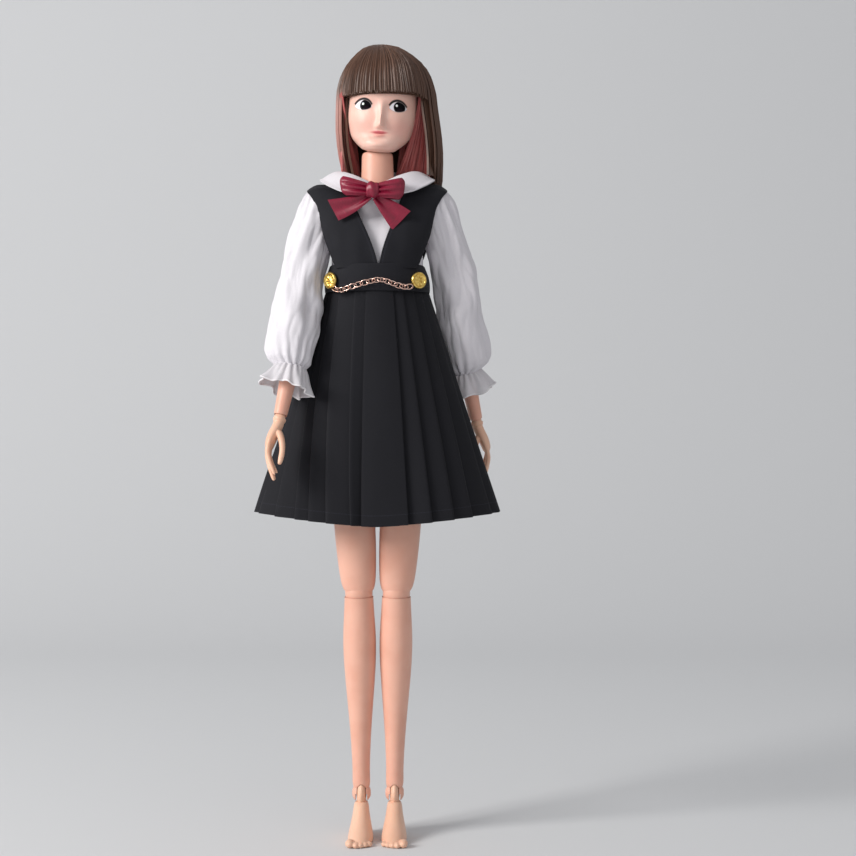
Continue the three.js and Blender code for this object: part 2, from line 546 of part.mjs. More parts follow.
// One leg, with its bones offset so that every hinge axis stays level.
function makeLeg(side, label) {
  const hip = new THREE.Group();
  hip.name = `hip_flex_${label}`;
  hip.position.set(side * hipSpacing / 2, hipY, hipZ);
  doll.add(hip);
  const pegReach = hipSpacing / 2 - 2 * gap;
  const hipJoint = rodY(hipDisc, 2 * hipPeg, 0, 0, 0, 14)
    .add(rodX(hipPeg, pegReach, -side * pegReach / 2, 0, 0));
  addPiece(hip, `hip_joint_${label}`, hipJoint, pinPlastic);

  const spread = new THREE.Group();
  spread.name = `hip_spread_${label}`;
  hip.add(spread);
  const kneeX = side * (kneeSpacing - hipSpacing) / 2;
  const kneeY = kneeSetBack - hipSetBack;
  const along = (share, halfWidth, halfDepth, back = 0) => [
    -share * thighLength, halfWidth, halfDepth, share * kneeX, share * kneeY + back,
  ];
  let thigh = loft([
    along(1, 4.6, 4.6), along(0.94, 4.75, 4.9), along(0.82, 5.2, 5.6), along(0.64, 6, 6.4),
    along(0.45, 6.7, 7), along(0.27, 7, 7.2), along(0.12, 6.9, 6.9), along(0, 6, 6),
  ], 12);
  const halfBend = (180 - kneeBend) / 2;
  thigh = thigh.subtract(wedge(18, 24, halfBend - 2, 180 - halfBend + 1, kneeY, -thighLength));
  thigh = thigh.add(ball(hipBall, 0, 0, 0, 12)).add(ball(kneeBall, kneeX, kneeY, -thighLength));
  const slotHalf = hipPeg + gap;
  const slotReach = hipBall + 2;
  thigh = thigh.subtract(rodY(hipDisc + gap, 2 * slotHalf, 0, 0, 0, 14));
  const slotRise = 0.8 * slotReach;
  thigh = thigh.subtract(block(
    slotReach, 2 * slotHalf, slotRise + slotHalf, -side * slotReach / 2, 0, (slotRise - slotHalf) / 2,
  ));
  const tongueRoom = kneeTongue + gap;
  const slotWidth = kneeTongueWidth + 2 * gap;
  thigh = thigh.subtract(block(
    slotWidth, tongueRoom + 10, tongueRoom + 8, kneeX, kneeY - tongueRoom + (tongueRoom + 10) / 2,
    -thighLength + tongueRoom - (tongueRoom + 8) / 2,
  ));
  thigh = thigh.subtract(rodX(kneePin + gap, 20, kneeX, kneeY, -thighLength, 8));
  addPiece(spread, `thigh_${label}`, thigh, skin);
  const kneePinShape = rodX(kneePin, 2 * kneeBall - 1.2, kneeX, kneeY, -thighLength, 8);
  addPiece(spread, `knee_pin_${label}`, kneePinShape, pinPlastic);

  const knee = new THREE.Group();
  knee.name = `knee_bend_${label}`;
  knee.position.set(kneeX, kneeY, -thighLength);
  spread.add(knee);
  const ankleX = side * (ankleSpacing - kneeSpacing) / 2;
  const ankleY = ankleSetBack - kneeSetBack;
  const down = (share, halfWidth, halfDepth, back = 0) => [
    -share * shinLength, halfWidth, halfDepth, share * ankleX, share * ankleY + back,
  ];
  let shin = loft([
    down(1, 3.1, 3.2), down(0.93, 3, 3.3), down(0.86, 3, 3.5, 0.1), down(0.62, 4, 4.7, 0.7),
    down(0.42, 5.3, 6, 1), down(0.27, 5.8, 6.3, 0.9), down(0.13, 5.3, 5.5, 0.3), down(0.05, 4.8, 4.8),
    down(0.01, 4.7, 4.7),
  ]);
  shin = shin.subtract(ball(kneeBall + cupGap, 0, 0, 0));
  shin = shin.subtract(wedge(18, 24, halfBend - 3, 150, 0, 0));
  shin = shin.add(rodX(kneeTongue, kneeTongueWidth, 0, 0, 0, 12));
  shin = shin.add(block(kneeTongueWidth, 1.4 * kneeTongue, kneeBall + 3.5, 0, 0, -(kneeBall + 3.5) / 2));
  shin = shin.subtract(rodX(kneePin + gap, 20, 0, 0, 0, 8));
  shin = shin.add(ball(ankleBall, ankleX, ankleY, -shinLength, 8));
  const ankleRoom = ankleTongue + gap;
  shin = shin.subtract(block(
    ankleTongueWidth + 2 * gap, 12, ankleRoom + 8, ankleX, ankleY, -shinLength + (ankleRoom - 8) / 2,
  ));
  shin = shin.subtract(rodX(anklePin + gap, 12, ankleX, ankleY, -shinLength, 8));
  addPiece(knee, `shin_${label}`, shin, skin);
  const anklePinShape = rodX(anklePin, 2 * ankleBall - 0.9, ankleX, ankleY, -shinLength, 8);
  addPiece(knee, `ankle_pin_${label}`, anklePinShape, pinPlastic);

  // The foot, flat underneath, with a tongue between the prongs of the ankle.
  const ankle = new THREE.Group();
  ankle.name = `ankle_bend_${label}`;
  ankle.position.set(ankleX, ankleY, -shinLength);
  knee.add(ankle);
  const footMiddle = -footLength * 0.5 + 5.5;
  const footRows = [
    [-ankleHeight, 0.46, 0.48, footMiddle], [-ankleHeight + 1.2, 0.5, 0.5, footMiddle],
    [-ankleHeight + 2.8, 0.49, 0.48, footMiddle + 0.4], [-ankleHeight + 5, 0.44, 0.37, footMiddle + 2.8],
    [-ankleHeight + 7.5, 0.39, 0.28, footMiddle + 4.6], [-ankleHeight + 10, 0.36, 0.2, footMiddle + 6.8],
    [-ankleHeight + 13, 0.34, 0.13, footMiddle + 7.9],
  ];
  const toeSpread = 0.12;
  const footPoint = ([z, width, length, middle], angle) => [
    width * footWidth * (1 - toeSpread * Math.sin(angle)) * Math.cos(angle),
    middle + length * footLength * Math.sin(angle),
    z,
  ];
  let foot = solid(loftGeometry(footRows, 14, footPoint));
  foot = foot.subtract(ball(ankleBall + cupGap, 0, 0, 0, 8));
  foot = foot.add(rodX(ankleTongue, ankleTongueWidth, 0, 0, 0, 10));
  foot = foot.add(block(ankleTongueWidth, 1.7 * ankleTongue, ankleBall + 2.5, 0, 0, -(ankleBall + 2.5) / 2));
  foot = foot.subtract(rodX(anklePin + gap, 12, 0, 0, 0, 8));
  addPiece(ankle, `foot_${label}`, foot, skin);
}
makeLeg(-1, 'right');
makeLeg(1, 'left');

// The blouse body: a cotton shell over the chest, open at the neck, the waist and both armholes.
const blouseTop = neckZ - 0.8;
let blouse = clothOver(chestRows, neckZ - blouseLength, blouseTop, gap, blouseCloth, 16);
blouse = blouse.subtract(rodZ(neckRadius + 0.9 + gap, 8, 0, shoulderSetBack, neckZ, 16));
const armhole = shoulderBall + cupGap + gap + blouseCloth;
for (const side of [-1, 1]) {
  blouse = blouse.subtract(ball(armhole, side * shoulderSpacing / 2, shoulderSetBack, shoulderZ));
}
addPiece(upper, 'blouse_body', blouse, whiteCotton);

// The collar: two flat halves that lie over the shoulder straps, from the neck to their fronts.
const strapTop = shoulderZ + shoulderBall + 2.9;
const collarRows = [
  [strapTop + 1, collarRadius, 0.68 * collarRadius, 0, shoulderSetBack],
  [strapTop + 2.5, 0.7 * collarRadius, 0.56 * collarRadius, 0, shoulderSetBack],
  [strapTop + 4.4, neckRadius + 1.9, neckRadius + 1.7, 0, shoulderSetBack],
];
const collarUnder = collarRows.map(([z, ...rest]) => [z - blouseCloth, ...rest]);
collarUnder.unshift([strapTop - 3, ...collarRows[0].slice(1)]);
const collarCone = loft(collarRows, 18).subtract(loft(collarUnder, 18))
  .subtract(rodZ(neckRadius + 1.2, 20, 0, shoulderSetBack, strapTop, 16));
for (const side of [-1, 1]) {
  const half = block(2 * collarRadius, 3 * collarRadius, 12, side * (collarRadius + gap / 2), 0, strapTop);
  const frontNotch = wedgeZ(collarRadius + 4, 12, 0, 40, side).translate([0, 0, strapTop]);
  const collar = collarCone.intersect(half).subtract(frontNotch);
  addPiece(upper, side < 0 ? 'collar_right' : 'collar_left', collar, whiteCotton);
}

// Each sleeve: a full upper part, a fuller lower part and a gathered cuff with a wavy frill.
for (const [label, side] of [['right', -1], ['left', 1]]) {
  const sleeveRows = [
    [shoulderBall + 1.2, 2.6, 2.6, 0, 0], [shoulderBall + 0.2, 4.4, 4.4, 0, 0],
    [0, shoulderBall + 1.3, shoulderBall + 1.2, 0, 0], [-0.24 * upperArmLength, 6.8, 5.9, side * 2.3, 0],
    [-0.47 * upperArmLength, 7.2, 6.3, side * 3, 0], [-0.68 * upperArmLength, 7.6, 6.8, side * 3.4, 0],
    [-upperArmLength, sleeveFullness, sleeveDepth, side * 2.4, 0],
  ];
  const sleeveInside = grownBy(sleeveRows, -blouseCloth);
  sleeveInside[0] = [shoulderBall + 1.2 - blouseCloth, 0.8, 0.8, 0, 0];
  sleeveInside[sleeveInside.length - 1][0] -= cutPast;
  const chestSide = block(10, 20, 18, -side * 5.5, 0, 1.5);
  const upperSleeve = loft(sleeveRows).subtract(loft(sleeveInside)).subtract(chestSide);
  addPiece(arms[label].raise, `sleeve_upper_${label}`, upperSleeve, whiteCotton);

  const seam = gap + sleeveDepth * Math.sin(radians(elbowAtRest[label]));
  const lowerRows = [
    [-seam, sleeveFullness, sleeveDepth, side * 2.4, 0], [-8, 1.04 * sleeveFullness, 7.5, side * 2.4, 0],
    [-13, 0.9 * sleeveFullness, 6.4, side * 1.6, 0], [-cuffDrop, cuffRadius + 0.4, cuffRadius + 0.2, 0, 0],
  ];
  const lowerSleeve = loft(lowerRows).subtract(loft(openEnded(grownBy(lowerRows, -blouseCloth))));
  addPiece(arms[label].elbow, `sleeve_lower_${label}`, lowerSleeve, whiteCotton);

  // A frill row is [z, how far the radius has opened, how deep the folds are].
  const frillRows = [[-cuffDrop - gap, 0, 0], [-cuffDrop - 2.4, 0.05, 0.2], [-cuffDrop - frillLength, 1, 1]];
  const frillPoint = (extra) => ([z, opened, fold], angle) => {
    const radius = cuffRadius + opened * (ruffleRadius - cuffRadius);
    const waved = radius * (1 + 0.1 * fold * Math.sin(ruffleFolds * angle)) + extra;
    return [waved * Math.cos(angle), waved * Math.sin(angle), z];
  };
  const frillSides = 4 * ruffleFolds;
  const frill = solid(loftGeometry(frillRows, frillSides, frillPoint(blouseCloth)))
    .subtract(solid(loftGeometry(openEnded(frillRows), frillSides, frillPoint(0))));
  addPiece(arms[label].elbow, `cuff_${label}`, frill, whiteCotton);
}

// The bodice of the dress: a stiff shell with a deep V in front and straps over the shoulders.
const strapEdge = shoulderSpacing / 2 + 1.5;
const bodiceRows = [
  [waistbandTop + gap, 16.6, 13.4, 0, -0.4], [waistbandTop + 6, 17.8, 13.4, 0, -0.4],
  [waistbandTop + 12, strapEdge - 0.8, 12.2, 0, 0], [waistbandTop + 18, strapEdge, 10.4, 0, 0.4],
  [strapTop - 4.5, strapEdge + 0.3, 8.6, 0, 0.8], [strapTop - 1.6, strapEdge + 0.2, 6.2, 0, 1],
  [strapTop, strapEdge - 0.8, 3, 0, 1],
];
const bodiceInside = grownBy(bodiceRows, -dressCloth);
bodiceInside[0][0] -= cutPast;
bodiceInside[bodiceInside.length - 1][0] -= dressCloth;
let bodice = loft(bodiceRows, 20, 3).subtract(loft(bodiceInside, 20, 3));
const armholeHalf = shoulderBall + 1.9;
const armholeDepth = shoulderZ - waistbandTop + 1;
for (const side of [-1, 1]) {
  const armholeX = side * (shoulderSpacing / 2 - shoulderBall + 10.4);
  bodice = bodice.subtract(rodX(armholeHalf, 20, armholeX, shoulderSetBack, shoulderZ, 16));
  bodice = bodice.subtract(block(
    20, 2 * armholeHalf, armholeDepth, armholeX, shoulderSetBack, shoulderZ - armholeDepth / 2,
  ));
}
const neckHalf = 9.6;
const neckV = new THREE.Shape();
neckV.moveTo(0, waistbandTop + 1.2);
neckV.lineTo(neckHalf, strapTop + 1);
neckV.lineTo(-neckHalf, strapTop + 1);
neckV.closePath();
const flatV = new THREE.ExtrudeGeometry(neckV, { depth: 30, bevelEnabled: false });
const frontV = solid(flatV.rotateX(Math.PI / 2));
bodice = bodice.subtract(frontV).subtract(block(2 * neckHalf, 30, 12, 0, 15, strapTop - 2));
bodice = bodice.subtract(rodZ(neckHalf, 12, 0, shoulderSetBack, strapTop, 20));
addPiece(upper, 'dress_bodice', bodice, navyCloth);

// The waistband: a doubled strip, topstitched to the bodice above and to the skirt below.
const bandRows = [
  [waistbandBottom, bandHalfWidth, bandHalfDepth - 0.3, 0, 0],
  [waistbandTop, bandHalfWidth, bandHalfDepth, 0, -0.4],
];
const bandInside = openEnded(grownBy(bandRows, -waistbandThickness));
const waistband = loft(bandRows, 24, bandBulge).subtract(loft(bandInside, 24, bandBulge));
addPiece(upper, 'waistband', waistband, navyCloth);

// The front of the waistband at a distance from its middle.
function bandFrontY(x) {
  const across = Math.min(Math.abs(x) / bandHalfWidth, 1);
  return -bandHalfDepth * (1 - across ** bandBulge) ** (1 / bandBulge);
}

// The skirt: knife pleats all round, sewn in at the waistband and open at the hem.
// A row is [z, share of the way down]; each pleat rises slowly and drops back at its fold.
const skirtTop = waistbandBottom - gap;
const skirtRows = [0, 0.5, 1].map((share) => [skirtTop - share * skirtLength, share]);
const pleatFold = 0.67;
const skirtPoint = (extra) => ([z, share], angle) => {
  const halfWidth = bandHalfWidth - 0.3 + share * (skirtHemWidth / 2 - bandHalfWidth);
  const halfDepth = bandHalfDepth - 0.5 + share * (skirtHemDepth / 2 - bandHalfDepth);
  const turned = (pleatCount * angle / (2 * Math.PI) + 0.5) % 1;
  const rise = turned < pleatFold ? turned / pleatFold : (1 - turned) / (1 - pleatFold);
  const pleat = extra - pleatDepth * (0.25 + 0.75 * share) * rise;
  const lift = skirtHemLift * Math.abs(Math.cos(angle)) ** 1.5 * share;
  return ovalPoint(skirtBulge)([z + lift, halfWidth + pleat, halfDepth + pleat], angle);
};
const pleatSides = 3 * pleatCount;
const skirtShell = (rows, extra) => solid(loftGeometry(rows, pleatSides, skirtPoint(extra)));
const skirt = skirtShell(skirtRows, 0).subtract(skirtShell(openEnded(skirtRows), -skirtCloth));
addPiece(doll, 'skirt', skirt, navyCloth);

// A gold button at each end of the waistband, and a chain of flat links hung between them.
const buttonPlaces = { right: [-16.1, -42, -2.8], left: [14.9, 30, -1.4] };
const buttonZ = waistbandBottom + 3.4;
for (const [label, [x, turned, off]] of Object.entries(buttonPlaces)) {
  const profile = [
    [0, 0], [buttonRadius, 0], [buttonRadius, 0.9], [buttonRadius - 0.5, buttonHeight],
    [buttonRadius - 0.9, 1], [1.1, 1.1], [0.6, buttonHeight], [0, buttonHeight],
  ];
  const disc = new THREE.LatheGeometry(profile.map(([radius, rise]) => new THREE.Vector2(radius, rise)), 12);
  disc.rotateX(Math.PI).rotateZ(radians(turned)).translate(x, bandFrontY(x) + off, buttonZ);
  addPiece(upper, `button_${label}`, solid(disc), goldMetal);
}

// The chain's flat links lie in front of the band, each turned a little on its neighbour.
const chainPoints = [
  [-15.4, -2.9], [-13.2, -4.1], [-9.8, -3.3], [-5.9, -2], [-1.7, -0.4], [1.7, 0], [5.1, -1.5], [8.8, -2.7],
  [12.2, -2.9],
];
const chainOff = 1.3;
const linkTwist = 0.45;
const chainCurve = new THREE.CatmullRomCurve3(chainPoints.map(
  ([x, rise]) => new THREE.Vector3(x, bandFrontY(x) - chainOff, buttonZ + 0.6 + rise),
));
let chain = null;
for (let link = 0; link < linkCount; link++) {
  const share = (link + 0.5) / linkCount;
  const place = chainCurve.getPointAt(share);
  const heading = chainCurve.getTangentAt(share);
  const ring = new THREE.TorusGeometry(linkWidth / 2 - linkWire, linkWire, 3, 6);
  ring.scale(linkLength / linkWidth, 1, 1).rotateX(Math.PI / 2 + (link % 2 ? linkTwist : -linkTwist));
  ring.rotateY(-Math.atan2(heading.z, heading.x)).rotateZ(Math.atan2(heading.y, heading.x));
  ring.translate(place.x, place.y, place.z);
  chain = chain ? chain.add(solid(ring)) : solid(ring);
}
addPiece(upper, 'chain', chain, roseMetal);

// The bow: a knot, two flattened loops and two tails with slanted ends, sewn on at the collar.
const bow = new THREE.Group();
bow.position.set(-1.4, -12.2, neckZ - 0.6);
bow.rotation.set(radians(-10), radians(5), 0);
upper.add(bow);
addPiece(bow, 'bow_knot', loft([
  [-2.7, 1.5, 1.2], [-1.4, 1.9, 1.7], [1.4, 1.9, 1.7], [2.7, 1.5, 1.2],
], 8, 2.6), crimsonSatin);
const bowPieces = {
  bow_loop: [[0, 1.5, 0.7], [2.6, 2.2, 1], [6.5, 3.6, 1.1], [9, 3.2, 0.8]],
  bow_tail: [[0, 1.3, 0.4], [4.5, 2.9, 0.5], [9.5, 3.9, 0.4], [11, 3.4, 0.3]],
};
for (const [label, side] of [['right', -1], ['left', 1]]) {
  const tailSlope = side < 0 ? 24 : 52;
  for (const [name, stations] of Object.entries(bowPieces)) {
    const isTail = name === 'bow_tail';
    const turned = loft(stations, 8, 2.4).rotate([0, 90, 0]).rotate([0, isTail ? tailSlope : -6, 0]);
    const placed = turned.translate([2.2, isTail ? 1.7 : -0.2, isTail ? -2.2 : 0.8]);
    const mirrored = side < 0 ? placed.mirror([1, 0, 0]) : placed;
    addPiece(bow, `${name}_${label}`, mirrored, crimsonSatin);
  }
}

// The doll stands on the middle of its own footprint.
doll.updateMatrixWorld(true);
const extent = new THREE.Box3().setFromObject(doll);
doll.position.set(-(extent.min.x + extent.max.x) / 2, -(extent.min.y + extent.max.y) / 2, -extent.min.z);

export default doll;
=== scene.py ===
# A jointed fashion doll in a white blouse and a near-black pleated pinafore dress.
# Metres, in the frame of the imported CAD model: +Z up, the doll faces -Y, its right hand is at -X.
import json
import math
import random
import bpy
from mathutils import Matrix, Vector, noise


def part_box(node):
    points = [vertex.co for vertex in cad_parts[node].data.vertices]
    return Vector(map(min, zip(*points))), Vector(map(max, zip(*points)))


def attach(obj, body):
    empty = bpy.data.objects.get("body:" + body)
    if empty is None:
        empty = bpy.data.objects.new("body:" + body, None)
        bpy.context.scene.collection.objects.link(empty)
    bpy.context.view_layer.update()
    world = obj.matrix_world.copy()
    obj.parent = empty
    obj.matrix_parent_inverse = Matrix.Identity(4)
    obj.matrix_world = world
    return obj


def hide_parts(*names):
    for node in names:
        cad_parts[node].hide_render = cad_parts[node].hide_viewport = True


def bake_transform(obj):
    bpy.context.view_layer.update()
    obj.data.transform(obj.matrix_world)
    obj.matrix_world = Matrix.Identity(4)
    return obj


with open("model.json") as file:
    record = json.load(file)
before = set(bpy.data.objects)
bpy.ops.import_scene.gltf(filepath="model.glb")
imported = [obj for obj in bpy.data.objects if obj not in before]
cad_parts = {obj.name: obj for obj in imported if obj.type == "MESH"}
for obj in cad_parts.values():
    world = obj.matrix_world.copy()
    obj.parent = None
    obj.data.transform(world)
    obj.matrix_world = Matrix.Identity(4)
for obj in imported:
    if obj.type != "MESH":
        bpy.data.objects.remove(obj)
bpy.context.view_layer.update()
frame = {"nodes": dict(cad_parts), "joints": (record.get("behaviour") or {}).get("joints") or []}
bpy.ops.object.select_all(action="DESELECT")

# The studio: a pale sweep of paper under and behind the doll, a broad soft lamp on its right-hand side
# and a weak one on the other, and a camera level with the waist, about 600 mm in front.
# Places are given in millimetres from the doll's own middle line, which lies a little before its spine.
MM = 0.001
joints = {joint["name"]: joint for joint in frame["joints"]}


def pivot(name):
    return Vector(joints[name]["pos_m"])


SPINE = pivot("torso_turn")
SPINE_BACK = 1


def at(x, y, z):
    return Vector((SPINE.x + x * MM, SPINE.y + (y - SPINE_BACK) * MM, z * MM))


def srgb(code):
    """A colour as written on paint charts, turned into light values."""
    parts = [int(code[i:i + 2], 16) / 255 for i in (0, 2, 4)]
    return tuple(p / 12.92 if p <= 0.04045 else ((p + 0.055) / 1.055) ** 2.4 for p in parts) + (1.0,)


def activate(piece):
    bpy.ops.object.select_all(action="DESELECT")
    piece.select_set(True)
    bpy.context.view_layer.objects.active = piece


def apply_modifier(piece, kind, **settings):
    """Adds a modifier and applies it at once."""
    activate(piece)
    modifier = piece.modifiers.new(kind.title(), kind)
    for key, value in settings.items():
        setattr(modifier, key, value)
    bpy.ops.object.modifier_apply(modifier=modifier.name)


view_angle = math.radians(27.26)
bpy.ops.object.camera_add(location=at(17.2, -600, 140.1), rotation=(math.pi / 2, 0, 0))
camera = bpy.context.object
camera.data.angle = view_angle
camera.data.clip_start = 0.01
bpy.context.scene.camera = camera
bpy.context.scene.view_settings.view_transform = "Standard"


def soft_lamp(name, place, size, power, tint):
    """A square lamp that points at the middle of the doll."""
    bpy.ops.object.light_add(type="AREA", location=place)
    lamp = bpy.context.object
    lamp.name = name
    lamp.data.size = size
    lamp.data.energy = power
    lamp.data.color = tint
    aim = at(0, 0, 140) - Vector(place)
    lamp.rotation_euler = aim.to_track_quat("-Z", "Y").to_euler()


soft_lamp("key_lamp", (-1.1, -0.68, 0.7), 0.6, 19.5, (1.0, 0.985, 0.96))
soft_lamp("fill_lamp", (0.7, -1.1, 0.4), 0.9, 0.9, (1.0, 0.96, 0.92))
world = bpy.data.worlds.new("studio")
bpy.context.scene.world = world
world.use_nodes = True
daylight = world.node_tree.nodes["Background"].inputs
daylight["Color"].default_value = (0.97, 0.98, 1.0, 1)
daylight["Strength"].default_value = 0.48


def mesh_piece(name, points, faces, layer="", places=()):
    """A piece made of points and faces, with a map of its faces' corners where one is given."""
    mesh = bpy.data.meshes.new(name)
    mesh.from_pydata(points, [], faces)
    if layer:
        for corner, place in zip(mesh.uv_layers.new(name=layer).data, places):
            corner.uv = place
    piece = bpy.data.objects.new(name, mesh)
    bpy.context.collection.objects.link(piece)
    return piece


def new_material(name, **plain):
    """A material whose shader holds the values that are the same all over."""
    made = bpy.data.materials.new(name)
    made.use_nodes = True
    shader = made.node_tree.nodes["Principled BSDF"]
    for label, value in plain.items():
        shader.inputs[label.replace("_", " ")].default_value = value
    return made, made.node_tree, shader.inputs


sweep = mesh_piece(
    "paper_sweep",
    [(-1.6, -2.2, 0), (1.6, -2.2, 0), (1.6, 1, 0), (-1.6, 1, 0), (1.6, 1, 1.8), (-1.6, 1, 1.8)],
    [(0, 1, 2, 3), (3, 2, 4, 5)],
)
apply_modifier(sweep, "BEVEL", width=0.5, segments=16, limit_method="ANGLE")
bpy.ops.object.shade_smooth()
sweep.data.materials.append(new_material("pale_paper", Base_Color=srgb("d4d5d7"), Roughness=0.9)[0])


# The body plastic: soft matte vinyl, moulded and then polished. It has faint warm blotches, and a fine
# grain that only the highlight shows.
SURFACE = [("Color", "Color"), ("Roughness", "Float"), ("Height", "Float")]
BOTH_SIDES = (("right", -1), ("left", 1))


def new_group(name, inputs, outputs):
    """A shader node group with named sockets."""
    group = bpy.data.node_groups.new(name, "ShaderNodeTree")
    for label, kind, value in inputs:
        socket = group.interface.new_socket(label, in_out="INPUT", socket_type="NodeSocket" + kind)
        socket.default_value = value
    for label, kind in outputs:
        group.interface.new_socket(label, in_out="OUTPUT", socket_type="NodeSocket" + kind)
    return group, group.nodes.new("NodeGroupInput").outputs, group.nodes.new("NodeGroupOutput").inputs


def add_node(tree, kind, inputs, **settings):
    """A node with its inputs given by name or number: another node's socket, or a value."""
    made = tree.nodes.new("ShaderNode" + kind)
    for key, value in settings.items():
        setattr(made, key, value)
    for key, value in inputs.items():
        if isinstance(value, bpy.types.NodeSocket):
            tree.links.new(value, made.inputs[key])
        else:
            made.inputs[key].default_value = value
    return made.outputs


def maths(tree, operation, a, b=0.0, c=0.0):
    return add_node(tree, "Math", {0: a, 1: b, 2: c}, operation=operation)[0]


def times(tree, a, b):
    return maths(tree, "MULTIPLY", a, b)


def times_plus(tree, a, b, c):
    return maths(tree, "MULTIPLY_ADD", a, b, c)


def mixed(tree, factor, a, b):
    return add_node(tree, "Mix", {0: factor, 6: a, 7: b}, data_type="RGBA")[2]


def noise_on(tree, place, scale, detail):
    return add_node(tree, "TexNoise", {"Vector": place, "Scale": scale, "Detail": detail})[0]


def own_position(tree):
    return add_node(tree, "TexCoord", {})["Object"]


def ramp(tree, value, low, high, to_low=0.0, to_high=1.0):
    """A value taken smoothly from one range to another."""
    inputs = {0: value, 1: low, 2: high, 3: to_low, 4: to_high}
    return add_node(tree, "MapRange", inputs, interpolation_type="SMOOTHSTEP")[0]


def send(tree, sockets, values):
    """Links values to sockets by their names: a group's outputs, or a material's shader."""
    for label, value in values.items():
        tree.links.new(value, sockets[label])


def send_surface(tree, sockets, colour, roughness, height, strength, depth):
    """Gives a material's shader its colour, its roughness and a relief of some depth."""
    relief = add_node(tree, "Bump", {"Height": height, "Strength": strength, "Distance": depth})[0]
    send(tree, sockets, {"Base Color": colour, "Roughness": roughness, "Normal": relief})


moulded, group_in, group_out = new_group(
    "moulded_vinyl",
    [("Colour", "Color", (0.8, 0.5, 0.4, 1)), ("Warm Colour", "Color", (0.7, 0.35, 0.25, 1)),
     ("Blotches", "Float", 0.3), ("Gloss", "Float", 0.45)],
    SURFACE,
)
cloud = noise_on(moulded, own_position(moulded), 90.0, 3.0)
grain = noise_on(moulded, own_position(moulded), 2600.0, 2.0)
warmth = times(moulded, ramp(moulded, cloud, 0.35, 0.7), group_in["Blotches"])
shine = times_plus(moulded, grain, 0.12, group_in["Gloss"])
send(moulded, group_out, {
    "Color": mixed(moulded, warmth, group_in["Colour"], group_in["Warm Colour"]),
    "Roughness": times_plus(moulded, cloud, 0.1, shine), "Height": grain,
})


def vinyl_surface(tree, colour, warm, blotches, gloss):
    return add_node(tree, "Group", {
        "Colour": srgb(colour), "Warm Colour": srgb(warm), "Blotches": blotches, "Gloss": gloss,
    }, node_tree=moulded)


def vinyl(name, colour, warm, blotches=0.3, gloss=0.3):
    """Matte body vinyl in one colour, with light that sinks a little way in."""
    made, tree, sockets = new_material(
        name, Subsurface_Weight=0.12, Subsurface_Radius=(1.0, 0.45, 0.3), Subsurface_Scale=0.0012,
        Specular_IOR_Level=0.4,
    )
    look = vinyl_surface(tree, colour, warm, blotches, gloss)
    send_surface(tree, sockets, look["Color"], look["Roughness"], look["Height"], 0.08, 0.0002)
    return made


limb_vinyl = vinyl("limb_vinyl", "e5b09b", "d18f78")
foot_vinyl = vinyl("foot_vinyl", "e8bca2", "d69c80")
trunk_vinyl = vinyl("trunk_vinyl", "e3af9a", "cf8f78")
joint_vinyl = vinyl("joint_vinyl", "cf9880", "b87860", 0.4, 0.35)


def dress_node(node, material):
    """A CAD node keeps its mesh and gets a finish."""
    finishes = frame["nodes"][node].data.materials
    finishes.clear()
    finishes.append(material)


for node in ("pelvis", "chest", "waist_link"):
    dress_node(node, trunk_vinyl)
for side, sign in BOTH_SIDES:
    dress_node(f"upper_arm_{side}", limb_vinyl)
    for node in ("shoulder_link", "elbow_pin", "wrist_link", "hip_joint", "knee_pin", "ankle_pin"):
        dress_node(f"{node}_{side}", joint_vinyl)


# The legs: a thigh with a ball at each end, a shin that cups the knee and forks at the ankle, and a flat
# foot whose tongue fills the fork. Each is moulded vinyl, and the shins swing on pins.
def pulled_tube(name, rings, sides=24, levels=2):
    """A limb pulled ring by ring from a circle. A ring is (x, y, z, half width, half depth) in mm."""
    x, y, z, width, depth = rings[0]
    bpy.ops.mesh.primitive_circle_add(vertices=sides, radius=MM, fill_type="NGON")
    tube = bpy.context.object
    tube.name = tube.data.name = name
    bpy.ops.object.mode_set(mode="EDIT")
    bpy.ops.transform.resize(value=(width, depth, 1), center_override=(0, 0, 0))
    bpy.ops.transform.translate(value=(x * MM, y * MM, z * MM))
    for next_x, next_y, next_z, next_width, next_depth in rings[1:]:
        step = ((next_x - x) * MM, (next_y - y) * MM, (next_z - z) * MM)
        bpy.ops.mesh.extrude_region_move(TRANSFORM_OT_translate={"value": step})
        x, y, z = next_x, next_y, next_z
        scale = (next_width / width, next_depth / depth, 1)
        bpy.ops.transform.resize(value=scale, center_override=(x * MM, y * MM, z * MM))
        width, depth = next_width, next_depth
    bpy.ops.mesh.select_all(action="SELECT")
    bpy.ops.mesh.normals_make_consistent(inside=False)
    bpy.ops.object.mode_set(mode="OBJECT")
    apply_modifier(tube, "SUBSURF", levels=levels, render_levels=levels)
    return tube


def set_down():
    """The shape that was just added, with its place and size worked into its points."""
    bpy.ops.object.transform_apply()
    return bpy.context.object


def ball(x, y, z, radius, scale=(1, 1, 1), segments=40):
    bpy.ops.mesh.primitive_uv_sphere_add(
        segments=segments, ring_count=segments // 2, radius=radius * MM, location=(x * MM, y * MM, z * MM),
        scale=scale,
    )
    return set_down()


def rod(centre, radius, length, turn=(0, math.pi / 2, 0)):
    """A round bar, lying along X unless it is turned another way."""
    place = tuple(c * MM for c in centre)
    bpy.ops.mesh.primitive_cylinder_add(
        vertices=32, radius=radius * MM, depth=length * MM, location=place, rotation=turn,
    )
    return set_down()


def block(centre, size):
    bpy.ops.mesh.primitive_cube_add(size=MM, location=tuple(c * MM for c in centre), scale=size)
    return set_down()


def lens(radius, thickness, x, y, z):
    """A disc across X that thins towards its rim, as the tongue of a joint does."""
    return ball(x, y, z, radius, (thickness / radius, 1, 1), 32)


